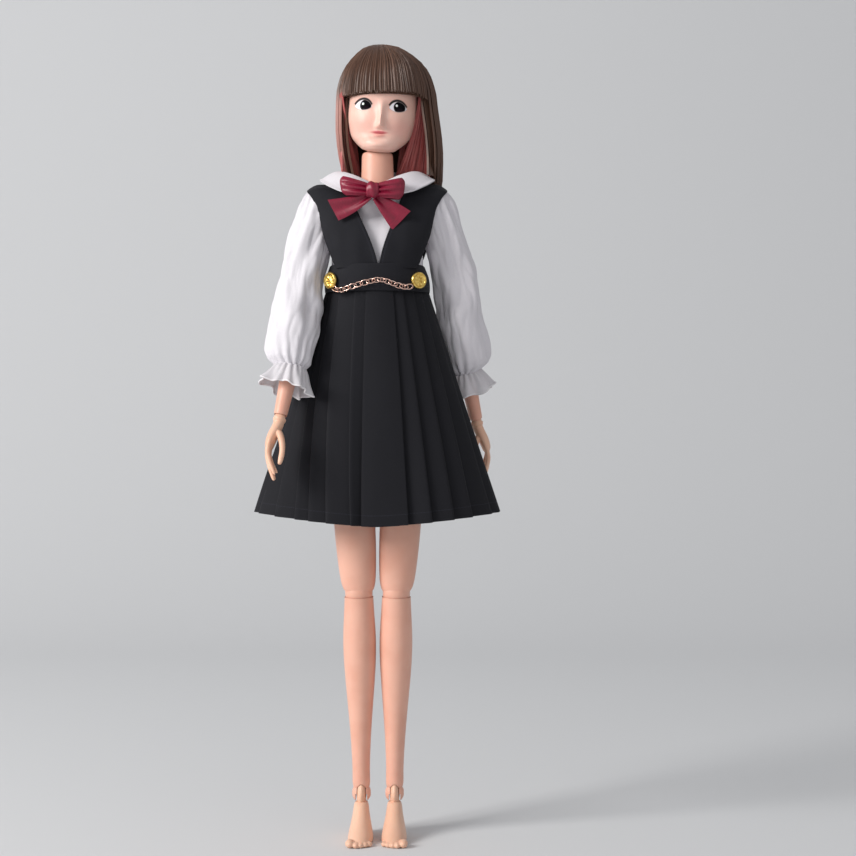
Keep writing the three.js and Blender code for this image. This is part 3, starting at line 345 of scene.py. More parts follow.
def combine(piece, other, operation):
    """Joins another shape to a piece, or cuts it out, and removes the other."""
    apply_modifier(piece, "BOOLEAN", operation=operation, object=other, solver="MANIFOLD")
    bpy.data.objects.remove(other)


def add(piece, other):
    combine(piece, other, "UNION")


def cut_out(piece, other):
    combine(piece, other, "DIFFERENCE")


def fuse(piece, voxel, smoothing):
    """Runs overlapping forms together as one moulding with soft inner corners."""
    apply_modifier(piece, "REMESH", mode="VOXEL", voxel_size=voxel * MM, use_smooth_shade=True)
    apply_modifier(piece, "SMOOTH", factor=0.5, iterations=smoothing)


def finish_piece(piece, name, material, body, nodes, angle=40, place=None):
    """Puts a finished piece in its place, with its finish, and hands it to its body."""
    if place is not None:
        piece.data.transform(place)
    piece.name = piece.data.name = name
    piece.data.materials.clear()
    piece.data.materials.append(material)
    for polygon in piece.data.polygons:
        polygon.material_index = 0
    activate(piece)
    bpy.ops.object.shade_smooth_by_angle(angle=math.radians(angle))
    if body:
        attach(piece, body)
    if nodes:
        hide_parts(*nodes)


def finish_limb(piece, name, material, body, place=None):
    """A moulded part of the body, which stands for the CAD node that its body is named after."""
    finish_piece(piece, name, material, body, [body], place=place)


def between(upper, lower, share):
    return [(a + (b - a) * share) / MM for a, b in zip(upper, lower)]


# Up the thigh from the knee and down the shin: the share of the length, half width, half depth, and how far
# the calf stands back. Up the foot: the height, its width and depth as shares, and how far back it lies.
thigh_profile = [
    (1.015, 3.9, 3.9), (0.99, 4.9, 4.6), (0.96, 5.5, 4.85), (0.92, 5.95, 5.1), (0.86, 6.25, 5.4),
    (0.77, 6.6, 5.85), (0.62, 6.95, 6.5), (0.45, 7.15, 7), (0.27, 7.2, 7.3), (0.12, 7, 7), (0, 6, 6),
    (-0.04, 4, 4),
]
shin_profile = [
    (0.985, 2.6, 2.7, 0), (0.955, 3.15, 3.3, 0), (0.9, 3.0, 3.3, 0), (0.84, 3.1, 3.6, 0.1),
    (0.72, 3.5, 4.1, 0.4), (0.6, 4.15, 4.8, 0.7), (0.46, 5.0, 5.7, 1), (0.33, 5.65, 6.3, 1),
    (0.22, 5.75, 6.2, 0.7), (0.12, 5.3, 5.5, 0.3), (0.05, 5.05, 5.05, 0), (0.015, 4.95, 4.95, 0),
    (0.0, 4.9, 4.9, 0), (-0.01, 4.2, 4.2, 0),
]
foot_profile = [
    (0.0, 0.86, 0.455, 0.1), (0.35, 0.97, 0.485, 0), (1.4, 1.0, 0.48, 0.1), (3, 0.94, 0.42, 1.5),
    (5, 0.85, 0.33, 3.6), (7.4, 0.74, 0.26, 5.4), (9.6, 0.68, 0.205, 6.7), (11.4, 0.64, 0.17, 7.4),
    (12.4, 0.45, 0.11, 7.6),
]
# Each toe from the big one: its place across, how far back it ends, and its size.
toes = [(-0.74, 0.15, 1.55), (-0.28, 0.0, 1.12), (0.08, 0.5, 1.06), (0.42, 1.3, 1.0), (0.74, 2.4, 0.95)]
hip_ball, hip_disc, hip_slot = 7.4, 4.5, 3.8
knee_ball, knee_gap, knee_hole, knee_tongue = 4.8, 0.35, 1.2, 2.6
ankle_ball, ankle_gap, ankle_hole = 3.5, 0.35, 0.9
tongue_rise, tongue_half, tongue_gap = 4.5, 1.75, 0.3
for side, sign in BOTH_SIDES:
    hip, knee, ankle = (pivot(f"{name}_{side}") for name in ("hip_flex", "knee_bend", "ankle_bend"))
    hx, hy, hz = (c / MM for c in hip)
    kx, ky, kz = (c / MM for c in knee)
    ax, ay, az = (c / MM for c in ankle)

    rings = [(*between(hip, knee, share), width, depth) for share, width, depth in thigh_profile]
    thigh = pulled_tube("thigh", rings)
    add(thigh, ball(kx, ky, kz, knee_ball))
    add(thigh, ball(hx, hy, hz, hip_ball))
    cut_out(thigh, block((hx - sign * 5, hy, hz + 2), (10, hip_slot, 12)))
    cut_out(thigh, rod((hx, hy, hz), hip_disc, hip_slot, (math.pi / 2, 0, 0)))
    cut_out(thigh, block((kx, ky + 3.25, kz - 2), (knee_tongue + 0.6, 13.5, 10.2)))
    cut_out(thigh, rod((kx, ky, kz), knee_hole, 20))
    finish_limb(thigh, f"leg_thigh_{side}", limb_vinyl, f"thigh_{side}")

    rings = []
    for share, width, depth, back in shin_profile:
        x, y, z = between(knee, ankle, share)
        rings.append((x, y + back, z, width, depth))
    shin = pulled_tube("shin", rings)
    add(shin, ball(ax, ay, az, ankle_ball, (0.94, 1, 1)))
    cut_out(shin, ball(kx, ky, kz, knee_ball + knee_gap))
    cut_out(shin, block((kx, ky + 13.5, kz + 2.2), (16, 20, 17)))
    tongue = rod((kx, ky, kz), 3.2, knee_tongue)
    add(tongue, block((kx, ky, kz - 4), (knee_tongue, 4.5, 8)))
    add(shin, tongue)
    cut_out(shin, rod((kx, ky, kz), knee_hole, 20))
    cut_out(shin, lens(tongue_rise + tongue_gap, tongue_half + tongue_gap, ax, ay, az))
    cut_out(shin, block((ax, ay, az - 4), (2 * tongue_half + 0.5, 12, 8)))
    cut_out(shin, rod((ax, ay, az), ankle_hole, 12))
    finish_limb(shin, f"leg_shin_{side}", limb_vinyl, f"shin_{side}")

    low, high = (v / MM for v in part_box(f"foot_{side}"))
    length = high.y - low.y
    half = (high.x - low.x) / 2
    mid_y = (high.y + low.y) / 2
    rings = [(ax, mid_y + back, rise, half * w, length * d) for rise, w, d, back in foot_profile]
    foot = pulled_tube("foot", rings, levels=1)
    for vertex in foot.data.vertices:
        forward = (mid_y - vertex.co.y / MM) / (length / 2)
        spread = 1 + 0.1 * forward - 0.16 * max(0, -forward) ** 2
        vertex.co.x = ax * MM + (vertex.co.x - ax * MM) * spread
    for across, back, size in toes:
        toe_x, toe_y = ax - across * sign * half, low.y + size * 1.5 + back
        add(foot, ball(toe_x, toe_y, size * 0.92, size, (1, 1.55, 0.95), 20))
    cut_out(foot, block((ax, mid_y, -2), (20, 40, 4)))
    fuse(foot, voxel=0.26, smoothing=3)
    for vertex in foot.data.vertices:
        vertex.co.z = max(vertex.co.z, 0)
    sole = 0.05
    cut_out(foot, block((ax, mid_y, sole - 2), (20, 40, 4)))
    foot.data.transform(Matrix.Translation((0, 0, -sole * MM)))
    cut_out(foot, ball(ax, ay, az, ankle_ball + ankle_gap, (1.02, 1, 1)))
    stem = lens(tongue_rise, tongue_half, ax, ay, az)
    add(stem, block((ax, ay, az - 4.5), (2 * tongue_half - 0.4, 4.6, 7)))
    add(foot, stem)
    cut_out(foot, rod((ax, ay, az), ankle_hole, 12))
    finish_limb(foot, f"foot_{side}_moulded", foot_vinyl, f"foot_{side}")


# The forearms and hands: the forearm hangs from the elbow pin, and the hand turns on a peg and bends on a
# disc. The palm faces the thigh, the fingers curl towards it and the thumb stands off.
def arm_frame(side):
    """The frame of a forearm: its elbow at the origin, -Z to the wrist and X along the elbow's pin."""
    elbow, wrist = pivot(f"elbow_bend_{side}"), pivot(f"wrist_turn_{side}")
    up = (elbow - wrist).normalized()
    across = -Vector(joints[f"elbow_bend_{side}"]["axis"])
    return Matrix.Translation(elbow) @ Matrix((across, up.cross(across), up)).transposed().to_4x4()


# Down the forearm from the elbow: the share of the length, half width and half depth. Down the palm: the
# distance out, the height, half width and half depth.
forearm_profile = [
    (0.99, 1.7, 1.8), (0.965, 2.3, 2.45), (0.9, 2.35, 2.55), (0.8, 2.5, 2.8), (0.6, 2.95, 3.25),
    (0.4, 3.2, 3.5), (0.22, 3.15, 3.4), (0.08, 2.95, 3.0), (0.02, 2.8, 2.8),
]
palm_profile = [
    (1.3, -10.9, 1.0, 2.6), (1.5, -9.9, 1.5, 3.5), (1.4, -8.2, 1.75, 3.7), (1.0, -6, 1.95, 3.4),
    (0.5, -3.8, 1.9, 2.7), (0, -2, 1.9, 2.1), (0, -0.8, 1.9, 1.9),
]
# Up a finger from its tip: the share of its length, how far out it lies, and its size.
curl = [(1.0, -2.45, 0.45), (0.92, -2.0, 0.7), (0.7, -0.45, 0.85), (0.62, 0.1, 0.83), (0.38, 1.3, 0.93),
        (0.3, 1.45, 0.9), (0, 1.5, 0.95)]
# Up the thumb from its tip: the height, how far out and how far forward it lies, and its size.
thumb = [(-16.3, -3.3, -2.9, 0.5), (-15.4, -3.45, -2.95, 0.85), (-13.2, -3.5, -3.0, 1.0),
         (-11.4, -3.45, -3.0, 0.95), (-8.6, -2.8, -2.9, 1.15), (-6, -1.5, -2.2, 1.4), (-4, -0.5, -1.2, 1.3)]
knuckle, finger_lengths, finger_pitch = 8.6, (11.2, 12.8, 12.0, 9.2), 1.78
wrist_ball, wrist_peg, wrist_disc, wrist_slot = 2.2, 1.1, 1.6, 2.2
elbow_socket, elbow_eye, elbow_tongue = 3.4, 1.9, 1.4
for side, sign in BOTH_SIDES:
    placed = arm_frame(side)
    reach = (pivot(f"elbow_bend_{side}") - pivot(f"wrist_turn_{side}")).length / MM
    forearm = pulled_tube("forearm", [(0, 0, -reach * share, w, d) for share, w, d in forearm_profile])
    cut_out(forearm, ball(0, 0, -reach, wrist_ball + 0.3))
    cut_out(forearm, rod((0, 0, -reach), wrist_peg, 18, (0, 0, 0)))
    cut_out(forearm, ball(0, 0, 0, elbow_socket))
    add(forearm, rod((0, 0, 0), elbow_eye, elbow_tongue))
    add(forearm, block((0, 0, -2.7), (elbow_tongue, 2.7, 5.4)))
    finish_limb(forearm, f"forearm_{side}_moulded", limb_vinyl, f"forearm_{side}", placed)

    palm = pulled_tube("hand", [(sign * x, 0, z, w, d) for x, z, w, d in palm_profile], 16, 1)
    add(palm, ball(0, 0, 0, wrist_ball, segments=24))
    for finger, length in enumerate(finger_lengths):
        y = (finger - 1.5) * finger_pitch
        rings = [(sign * out, y * (1 - 0.1 * share), -knuckle - length * share, size * 1.02, size * 0.93)
                 for share, out, size in curl]
        add(palm, pulled_tube("finger", rings, 12, 1))
    add(palm, pulled_tube("thumb", [(sign * x, y, z, r, r) for z, x, y, r in thumb], 12, 1))
    fuse(palm, voxel=0.2, smoothing=3)
    cut_out(palm, block((0, 0, 2.4), (6, wrist_slot, 4.8)))
    cut_out(palm, rod((0, 0, 0), wrist_disc, wrist_slot, (math.pi / 2, 0, 0)))
    at_wrist = placed @ Matrix.Translation((0, 0, -reach * MM))
    finish_limb(palm, f"hand_{side}_moulded", foot_vinyl, f"hand_{side}", at_wrist)


# The neck: a straight vinyl post. It turns on a peg in the chest and carries the ball that the head
# nods on.
neck_low = pivot("head_turn") / MM
head_centre = pivot("head_nod") / MM
neck_rise = head_centre.z - neck_low.z
neck_profile = [
    (-7.5, 3.1, 3.1), (-0.2, 3.2, 3.2), (-0.1, 6.0, 5.8), (1.2, 5.9, 5.7), (4, 5.6, 5.5), (8, 5.5, 5.45),
    (neck_rise - 4, 5.4, 5.3), (neck_rise - 1.7, 5.35, 5.3), (neck_rise - 1.2, 4.4, 4.4),
    (neck_rise - 1, 3, 3),
]
neck_rings = [(neck_low.x, neck_low.y, neck_low.z + rise, wide, deep) for rise, wide, deep in neck_profile]
neck = pulled_tube("neck", neck_rings, 32)
neck_ball = 3.6
add(neck, ball(*head_centre, neck_ball))
finish_limb(neck, "neck_post", limb_vinyl, "neck")


# The head: soft vinyl cast in one piece, with a small straight nose, full lips and a rounded jaw. The
# face is painted: near-black eyes that glance aside, a dark upper lash line, pink lips and a faint blush.
head_tilt = math.radians(3)
face_middle, head_lean = 0.65, 0.03
head_place = Matrix.Translation(pivot("head_nod")) @ Matrix.Rotation(head_tilt, 4, "Y")
chin_z = -1.9
crown_z = 31.5


def smooth_between(table, value):
    """The value of a profile between its listed stations, eased so that no corner shows."""
    if value <= table[0][0]:
        return table[0][1]
    for i in range(len(table) - 1):
        (a, low), (b, high) = table[i], table[i + 1]
        if value <= b:
            before = table[max(i - 1, 0)][1]
            after = table[min(i + 2, len(table) - 1)][1]
            t = (value - a) / (b - a)
            return 0.5 * (2 * low + (high - before) * t + (2 * before - 5 * low + 4 * high - after) * t * t
                          + (3 * low - before - 3 * high + after) * t ** 3)
    return table[-1][1]


def signed_power(value, power):
    """A power that keeps the sign, which makes an oval fuller or leaner."""
    return math.copysign(abs(value) ** power, value)


def hill(distance, reach):
    return math.exp(-(distance / reach) ** 2)


width_share = [
    (0, 1.6), (0.015, 1.5), (0.05, 1.25), (0.093, 1.17), (0.147, 1.16), (0.2665, 1.085), (0.476, 1.036),
    (0.65, 1.07), (0.76, 1.12), (0.87, 1.16), (1, 1.15),
]
depth_share = [
    (0, 1.5), (0.03, 1.15), (0.09, 0.99), (0.18, 0.885), (0.3, 0.845), (0.42, 0.875), (0.54, 0.936),
    (0.65, 1.025), (0.76, 1.11), (0.87, 1.17), (0.95, 1.195), (1, 1.2),
]
middle_y = [
    (0, -4.6), (0.03, -3.9), (0.09, -2.3), (0.18, -0.6), (0.3, 0.05), (0.42, 0.65), (0.54, 1.2),
    (0.65, 1.5), (0.76, 1.5), (0.87, 1.75), (1, 1.74),
]
nose_rise = [
    (4.7, 0), (5.3, 0.25), (6.0, 0.8), (6.7, 1.0), (7.6, 0.86), (9.5, 0.56), (12, 0.27), (14.5, 0.08),
    (16.5, 0),
]
# The swellings and hollows of the face, in mm: how far it stands out, its place and reach to each side, its
# place and reach upwards. They are the nostrils, eye sockets, inner corners, eyes, brows, cheeks, upper and
# lower lip, mouth line, groove over the lip, hollow under it and chin.
face_forms = [
    (0.45, 1.15, 0.55, 5.9, 0.6), (-0.75, 5.6, 2.7, 12.6, 1.9), (-0.35, 2.6, 1.2, 12.4, 2.2),
    (0.3, 5.85, 1.7, 12.7, 1.0), (0.3, 5, 4, 16.2, 1.5), (0.4, 6.3, 3.4, 7.2, 3), (0.5, 0, 2.4, 4.4, 0.5),
    (0.55, 0, 1.8, 3.15, 0.55), (-0.35, 0, 2.4, 3.85, 0.22), (-0.15, 0, 0.45, 5.0, 0.6),
    (-0.35, 0, 2.6, 1.9, 0.6), (0.5, 0, 3.0, -0.1, 1.3),
]
nose_height = 2.7


def face_relief(x, z):
    """How far the face stands forward of the plain head, in mm."""
    nose_width = 0.95 + 0.25 * hill(z - 6.2, 1.4)
    relief = nose_height * smooth_between(nose_rise, z) * hill(x, nose_width)
    for height, beside, reach_x, middle, reach_z in face_forms:
        relief += height * hill(abs(x) - beside, reach_x) * hill(z - middle, reach_z)
    return relief


bpy.ops.mesh.primitive_uv_sphere_add(segments=224, ring_count=168, radius=1)
head = bpy.context.object
head_half_width, head_half_depth, head_fullness, head_socket = 11.5, 13.5, 2 / 2.2, 6.3
for vertex in head.data.vertices:
    across, back, up = vertex.co
    rise = (up + 1) / 2
    around = math.hypot(across, back)
    c, s = (signed_power(v / around, head_fullness) if around > 1e-6 else 0 for v in (across, back))
    x = c * around * smooth_between(width_share, rise) * head_half_width
    y = s * around * smooth_between(depth_share, rise) * head_half_depth + smooth_between(middle_y, rise)
    z = chin_z + rise * (crown_z - chin_z)
    if back < 0:
        y -= face_relief(x, z) * min(1, -2.2 * s)
    vertex.co = Vector((x + face_middle + head_lean * max(z, 0), y, z)) * MM
cut_out(head, ball(0, 0, 0, head_socket))

# One painted spot: an oval with a soft or a sharp edge, in the head's own millimetres.
spot, group_in, group_out = new_group(
    "painted_spot",
    [("Place", "Vector", (0, 0, 0)), ("Middle X", "Float", 0.0), ("Middle Z", "Float", 0.0),
     ("Half Width", "Float", 1.0), ("Half Height", "Float", 1.0), ("Turn", "Float", 0.0),
     ("Edge", "Float", 0.1)],
    [("Mask", "Float")],
)
apart = add_node(spot, "SeparateXYZ", {0: group_in["Place"]})
off_x = maths(spot, "SUBTRACT", apart[0], group_in["Middle X"])
off_z = maths(spot, "SUBTRACT", apart[2], group_in["Middle Z"])
cosine = maths(spot, "COSINE", group_in["Turn"])
sine = maths(spot, "SINE", group_in["Turn"])
along = times_plus(spot, off_x, cosine, times(spot, off_z, sine))
above = maths(spot, "SUBTRACT", times(spot, off_z, cosine), times(spot, off_x, sine))
across = maths(spot, "DIVIDE", along, group_in["Half Width"])
upward = maths(spot, "DIVIDE", above, group_in["Half Height"])
reach = maths(spot, "SQRT", times_plus(spot, across, across, times(spot, upward, upward)))
inner = maths(spot, "SUBTRACT", 1.0, group_in["Edge"])
outer = maths(spot, "ADD", 1.0, group_in["Edge"])
send(spot, group_out, {"Mask": ramp(spot, reach, inner, outer, 1.0, 0.0)})

face_paint, tree, sockets = new_material(
    "face_vinyl_painted", Subsurface_Weight=0.14, Subsurface_Radius=(1.0, 0.5, 0.38), Subsurface_Scale=0.0013,
)
look = vinyl_surface(tree, "eec3b4", "dfa593", 0.22, 0.3)
own_place = add_node(tree, "Mapping", {
    "Vector": own_position(tree), "Location": pivot("head_nod"), "Rotation": (0, head_tilt, 0),
    "Scale": (MM, MM, MM),
}, vector_type="TEXTURE")[0]
facing = ramp(tree, add_node(tree, "SeparateXYZ", {0: own_place})[1], -4.0, -2.5, 1.0, 0.0)


def oval_spot(x, z, half_width, half_height, turn=0.0, edge=0.08):
    mask = add_node(tree, "Group", {
        "Place": own_place, "Middle X": face_middle + x, "Middle Z": z, "Half Width": half_width,
        "Half Height": half_height, "Turn": math.radians(turn), "Edge": edge,
    }, node_tree=spot)["Mask"]
    return times(tree, mask, facing)


def paint(skin, mask, colour, strength=1.0):
    """A thin coat of one colour over what is painted so far."""
    return mixed(tree, times(tree, mask, strength), skin, srgb(colour))


skin = look["Color"]
for sign in (-1, 1):
    blush = oval_spot(sign * 6.8, 6.2, 3.6, 2.8, edge=0.9)
    shadow_on_lid = oval_spot(sign * 5.85, 13.6, 3.6, 2.0, edge=0.7)
    skin = paint(paint(skin, blush, "df8c80", 0.3), shadow_on_lid, "c98d80", 0.35)
lower_lip = oval_spot(0, 3.25, 1.9, 0.68, edge=0.5)
upper_lip = oval_spot(0, 4.15, 2.5, 0.5, edge=0.45)
mouth_line = oval_spot(0, 3.82, 2.2, 0.14, edge=0.6)
skin = paint(skin, lower_lip, "e2958c", 0.7)
skin = paint(skin, upper_lip, "d2646c", 0.9)
skin = paint(skin, mouth_line, "96464c", 0.55)
# Each eye: its middle, how far its corners slope, and how far it glances aside.
glossy = 0.0
for x, z, turn, glance in ((-5.85, 12.95, -9, 0.85), (5.85, 12.75, 3, 0.5)):
    under_lid = oval_spot(x, z - 1.45, 3.15, 3.3, turn, 0.04)
    opening = maths(tree, "MINIMUM", under_lid, oval_spot(x, z + 1.6, 3.7, 3.05, turn, 0.05))
    above_lid = oval_spot(x - 0.05, z - 1.05, 3.55, 3.65, turn, 0.05)
    lash = maths(tree, "MINIMUM", above_lid, oval_spot(x, z + 2.2, 3.7, 2.9, turn, 0.06))
    lower_line = times(tree, oval_spot(x, z + 1.62, 3.8, 3.25, turn, 0.05), under_lid)
    iris = times(tree, oval_spot(x + glance, z + 0.05, 1.95, 1.9, 0, 0.06), opening)
    glow = times(tree, oval_spot(x + glance + 0.2, z - 0.75, 1.0, 0.6, 0, 0.5), iris)
    # The white dot on each iris is the doll's printed catchlight, and also a painted highlight in place of
    # the eye's own reflection, whose specular is turned down below.
    catchlight_and_painted_highlight = oval_spot(x + glance - 0.95, z + 0.6, 0.38, 0.38, 0, 0.2)
    skin = paint(paint(skin, lower_line, "6b4a4a", 0.35), opening, "e9e4ea")
    skin = paint(paint(skin, iris, "0a070c"), glow, "34202c", 0.2)
    skin = paint(paint(skin, maths(tree, "SUBTRACT", lash, opening), "140d0f"), catchlight_and_painted_highlight, "ffffff")
    glossy = maths(tree, "MAXIMUM", glossy, opening)
roughness = times_plus(tree, glossy, -0.25, look["Roughness"])
send_surface(tree, sockets, skin, roughness, look["Height"], 0.06, 0.0002)
send(tree, sockets, {"Specular IOR Level": times_plus(tree, glossy, -0.34, 0.4)})
finish_piece(head, "head_cast", face_paint, "head", ["head"], 60, head_place)


# The hair: fine glossy fibre rooted over the head, brown outside and pink-red beside the cheeks. It falls
# in a bob with a blunt fringe, and every lock here is a bundle of fibres on its own path.
fibre, group_in, group_out = new_group(
    "hair_fibre",
    [("Colour", "Color", (0.1, 0.05, 0.03, 1)), ("Light Colour", "Color", (0.3, 0.2, 0.15, 1)),
     ("Dark Colour", "Color", (0.02, 0.01, 0.01, 1))],
    SURFACE,
)
strand_map = add_node(fibre, "UVMap", {}, uv_map="fibres")[0]


def stretched(tree, place, across, along):
    return add_node(tree, "VectorMath", {0: place, 1: (across, along, 1.0)}, operation="MULTIPLY")[0]


fine = noise_on(fibre, stretched(fibre, strand_map, 9.0, 0.12), 1.0, 3.0)
broad = noise_on(fibre, stretched(fibre, strand_map, 0.9, 0.03), 1.0, 2.0)
dark = times(fibre, ramp(fibre, broad, 0.42, 0.66), 0.55)
toned = mixed(fibre, dark, group_in["Colour"], group_in["Dark Colour"])
light = times(fibre, ramp(fibre, fine, 0.5, 0.78), 0.6)
send(fibre, group_out, {
    "Color": mixed(fibre, light, toned, group_in["Light Colour"]),
    "Roughness": times_plus(fibre, fine, 0.25, 0.3), "Height": fine,
})


def hair_material(name, colour, light_colour, dark_colour, side_colour=None):
    """Glossy fibre in three tones, and in another colour low down beside the right cheek."""
    made, tree, sockets = new_material(name, Specular_IOR_Level=0.45, Anisotropic=0.5)
    look = add_node(tree, "Group", {
        "Colour": srgb(colour), "Light Colour": srgb(light_colour), "Dark Colour": srgb(dark_colour),
    }, node_tree=fibre)
    colour_now = look["Color"]
    if side_colour:
        place = add_node(tree, "SeparateXYZ", {0: own_position(tree)})
        to_the_side = ramp(tree, place[0], -0.0142, -0.0108, 0.62, 0.0)
        beside = times(tree, to_the_side, ramp(tree, place[2], 0.249, 0.256, 1.0, 0.0))
        colour_now = mixed(tree, beside, colour_now, srgb(side_colour))
    send_surface(tree, sockets, colour_now, look["Roughness"], look["Height"], 0.35, 0.0002)
    return made


brown_fibre = hair_material("brown_fibre", "5d4133", "8c6c5a", "32211b", "bd8379")
pink_fibre = hair_material("pink_fibre", "ac5350", "da938b", "612a2d")

# The outline of the hair at each height: height, middle x, half width and half depth.
hair_rings = [
    (270.5, 0.9, 0.6, 0.6), (270.3, 1.0, 2.6, 3.0), (269.3, 1.5, 5.6, 6.2), (266.9, 2.1, 8.9, 10.2),
    (263.6, 2.6, 12.3, 13.2), (260.3, 2.75, 14.3, 14.8), (257, 2.8, 15.4, 15.6), (253.8, 2.95, 16.1, 16.0),
    (247.3, 3.2, 16.6, 16.3), (240.8, 3.7, 17.1, 16.2), (234.3, 4.3, 17.1, 15.8), (229.4, 4.8, 16.7, 15.2),
    (222, 5.5, 15.8, 14.4), (219, 5.7, 15.3, 14),
]
numbered_rings = [(i, *ring) for i, ring in enumerate(hair_rings)]
hair_middle_y, outward_lift = 3.2, 0.15


def row_at(rows, value):
    """All columns of a table at a value of its first one, eased between its rows."""
    return [smooth_between([(row[0], row[k]) for row in rows], value) for k in range(1, len(rows[0]))]


def hair_point(step, angle, off=0.0):
    """A point on the hair: how far down the outline, the angle from +X past the face, and how far out."""
    z, x, width, depth = row_at(numbered_rings, min(max(step, 0), len(hair_rings) - 1.001))
    y = hair_middle_y - (depth + off) * math.sin(angle)
    return Vector((x + (width + off) * math.cos(angle), y, z + outward_lift * off))


def step_at(z):
    """How far down the outline a height lies."""
    for i in range(len(hair_rings) - 1):
        high, low = hair_rings[i][0], hair_rings[i + 1][0]
        if z >= low:
            return i + (high - z) / (high - low)
    return len(hair_rings) - 1


def ring_faces(rings, sides, first=0, joined=False):
    """The faces between rings of points, and from the last ring to the first one where they are joined."""
    faces = []
    for ring in range(rings if joined else rings - 1):
        here, ahead = first + ring * sides, first + (ring + 1) % rings * sides
        for k in range(sides):
            onward = (k + 1) % sides
            faces.append((here + k, here + onward, ahead + onward, ahead + k))
    return faces


def tidy_mesh(piece, merging=0.0):
    """Drops loose points, merges those that meet, and turns all faces outwards."""
    activate(piece)
    bpy.ops.object.mode_set(mode="EDIT")
    bpy.ops.mesh.select_all(action="SELECT")
    bpy.ops.mesh.delete_loose()
    bpy.ops.mesh.select_all(action="SELECT")
    if merging:
        bpy.ops.mesh.remove_doubles(threshold=merging)
    bpy.ops.mesh.normals_make_consistent(inside=False)
    bpy.ops.object.mode_set(mode="OBJECT")


class Locks:
    """Collects locks of hair, each a flat bundle that tapers to its tip, into one mesh."""

    def __init__(self):
        self.vertices, self.faces, self.maps = [], [], []

    def add(self, path, out, width, thickness, tip=0.35):
        first = len(self.vertices)
        offset = random.uniform(0, 400)
        last = len(path) - 1
        for i, point in enumerate(path):
            run = (path[min(i + 1, last)] - path[max(i - 1, 0)]).normalized()
            side = run.cross(out[i]).normalized()
            face = side.cross(run)
            share = i / last
            size = min(0.35 + 3 * share, 1, tip + (1 - tip) * (1 - share) * 4)
            for across, lift in ((-0.5, 0), (0, 0.5), (0.5, 0), (0, -0.5)):
                self.vertices.append(point + side * across * width * size + face * lift * thickness * size)
                self.maps.append((offset + across * width, share * 30))
        self.faces += ring_faces(last + 1, 4, first)
        self.faces.append((first + 3, first + 2, first + 1, first))
        end = first + 4 * last
        self.faces.append((end, end + 1, end + 2, end + 3))

    def mesh(self, name):
        places = [self.maps[v] for face in self.faces for v in face]
        piece = mesh_piece(name, [at(*v) for v in self.vertices], self.faces, "fibres", places)
        tidy_mesh(piece)
        return piece


def lock_path(angle, top, bottom, off, drift, steps):
    """A path down the outline of the hair, and the way out from the head at each point."""
    points, outs = [], []
    lift = Vector((0, 0, outward_lift))
    for i in range(steps + 1):
        share = i / steps
        step = top + (bottom - top) * share
        turned = angle + drift * math.sin(math.pi * share * 0.9) * share
        points.append(hair_point(step, turned, off))
        outs.append((hair_point(step, turned, off + 1) - points[-1] - lift).normalized())
    return points, outs


random.seed(7)
fringe_from, fringe_to = math.radians(32), math.radians(153)
curtain_right, curtain_left = math.radians(34), math.radians(159)
# The height of the curtain's end in the middle and its slope across, on the doll's right and on its left.
right_end, right_slope, left_end, left_slope = 224.2, -2.9, 222.4, 0.6
# How the hair beside the left cheek turns back: by how much, from what height, and over how long a way.
turn_back, turn_from, turn_over = 9, 233, 11


def curtain_end(angle):
    """The height of the hair's lower edge: short beside the doll's right cheek, longer all the way round."""
    x = math.cos(angle)
    return right_end + right_slope * x if x < 0 else left_end + left_slope * x


# Layers from the scalp outwards: how many locks, how far each lies off the outline, and its width.
curtain_layers = ((250, -0.75, 2.0), (330, -0.15, 1.5), (300, 0.3, 1.0), (170, 0.55, 0.45))
outer = Locks()
for layer, (count, off, width) in enumerate(curtain_layers):
    for n in range(count):
        angle = curtain_left + (2 * math.pi - (curtain_left - curtain_right)) * (n + random.random()) / count
        near_face = min(angle - curtain_left, 2 * math.pi + curtain_right - angle)
        end = curtain_end(angle) + random.uniform(-0.7, 0.7) + 0.4 * layer
        drift = random.uniform(-0.07, 0.07)
        if near_face < 0.3 and angle > math.pi:
            drift -= 0.12
        top = random.uniform(0.1, 0.9)
        path, outs = lock_path(angle, top, step_at(end), off + random.uniform(-0.25, 0.25), drift, 14)
        if angle > 2 * math.pi - 0.3:
            for point in path:
                point.y += turn_back * (max(0, turn_from - point.z) / turn_over) ** 2
        outer.add(path, outs, width * random.uniform(0.75, 1.2), 0.55)
finish_piece(outer.mesh("hair"), "hair_curtain", brown_fibre, "head", ["hair_outer"], 60)

fringe = Locks()
fringe_layers = ((120, -0.8, 1.7), (150, -0.3, 1.2), (150, 0.1, 0.8), (110, 0.3, 0.4))
fringe_end = 252.0
parting = math.radians(104)
for layer, (count, off, width) in enumerate(fringe_layers):
    for n in range(count):
        angle = fringe_from + (fringe_to - fringe_from) * (n + random.random()) / count
        gap = hill(math.degrees(angle - parting), 1.6)
        if layer > 0 and random.random() < 0.85 * gap:
            continue
        end = fringe_end + random.uniform(-0.35, 0.35) + 1.6 * gap * random.random()
        end -= 1.3 * min(1, max(0, 52 - math.degrees(angle)) / 14) * random.uniform(0.4, 1.3)
        top, off_now = random.uniform(0.1, 0.8), off + random.uniform(-0.2, 0.2)
        path, outs = lock_path(angle, top, step_at(end), off_now, random.uniform(-0.05, 0.05), 9)
        fringe.add(path, outs, width * random.uniform(0.75, 1.2), 0.45, 0.6)
fringe_piece = fringe.mesh("fringe")
finish_piece(fringe_piece, "hair_front_fringe", brown_fibre, "head", ["hair_fringe"], 60)


def part_way(ends, share):
    return ends[0] + (ends[1] - ends[0]) * share


def curve(a, b, c, t):
    return a * (1 - t) ** 2 + b * 2 * t * (1 - t) + c * t * t


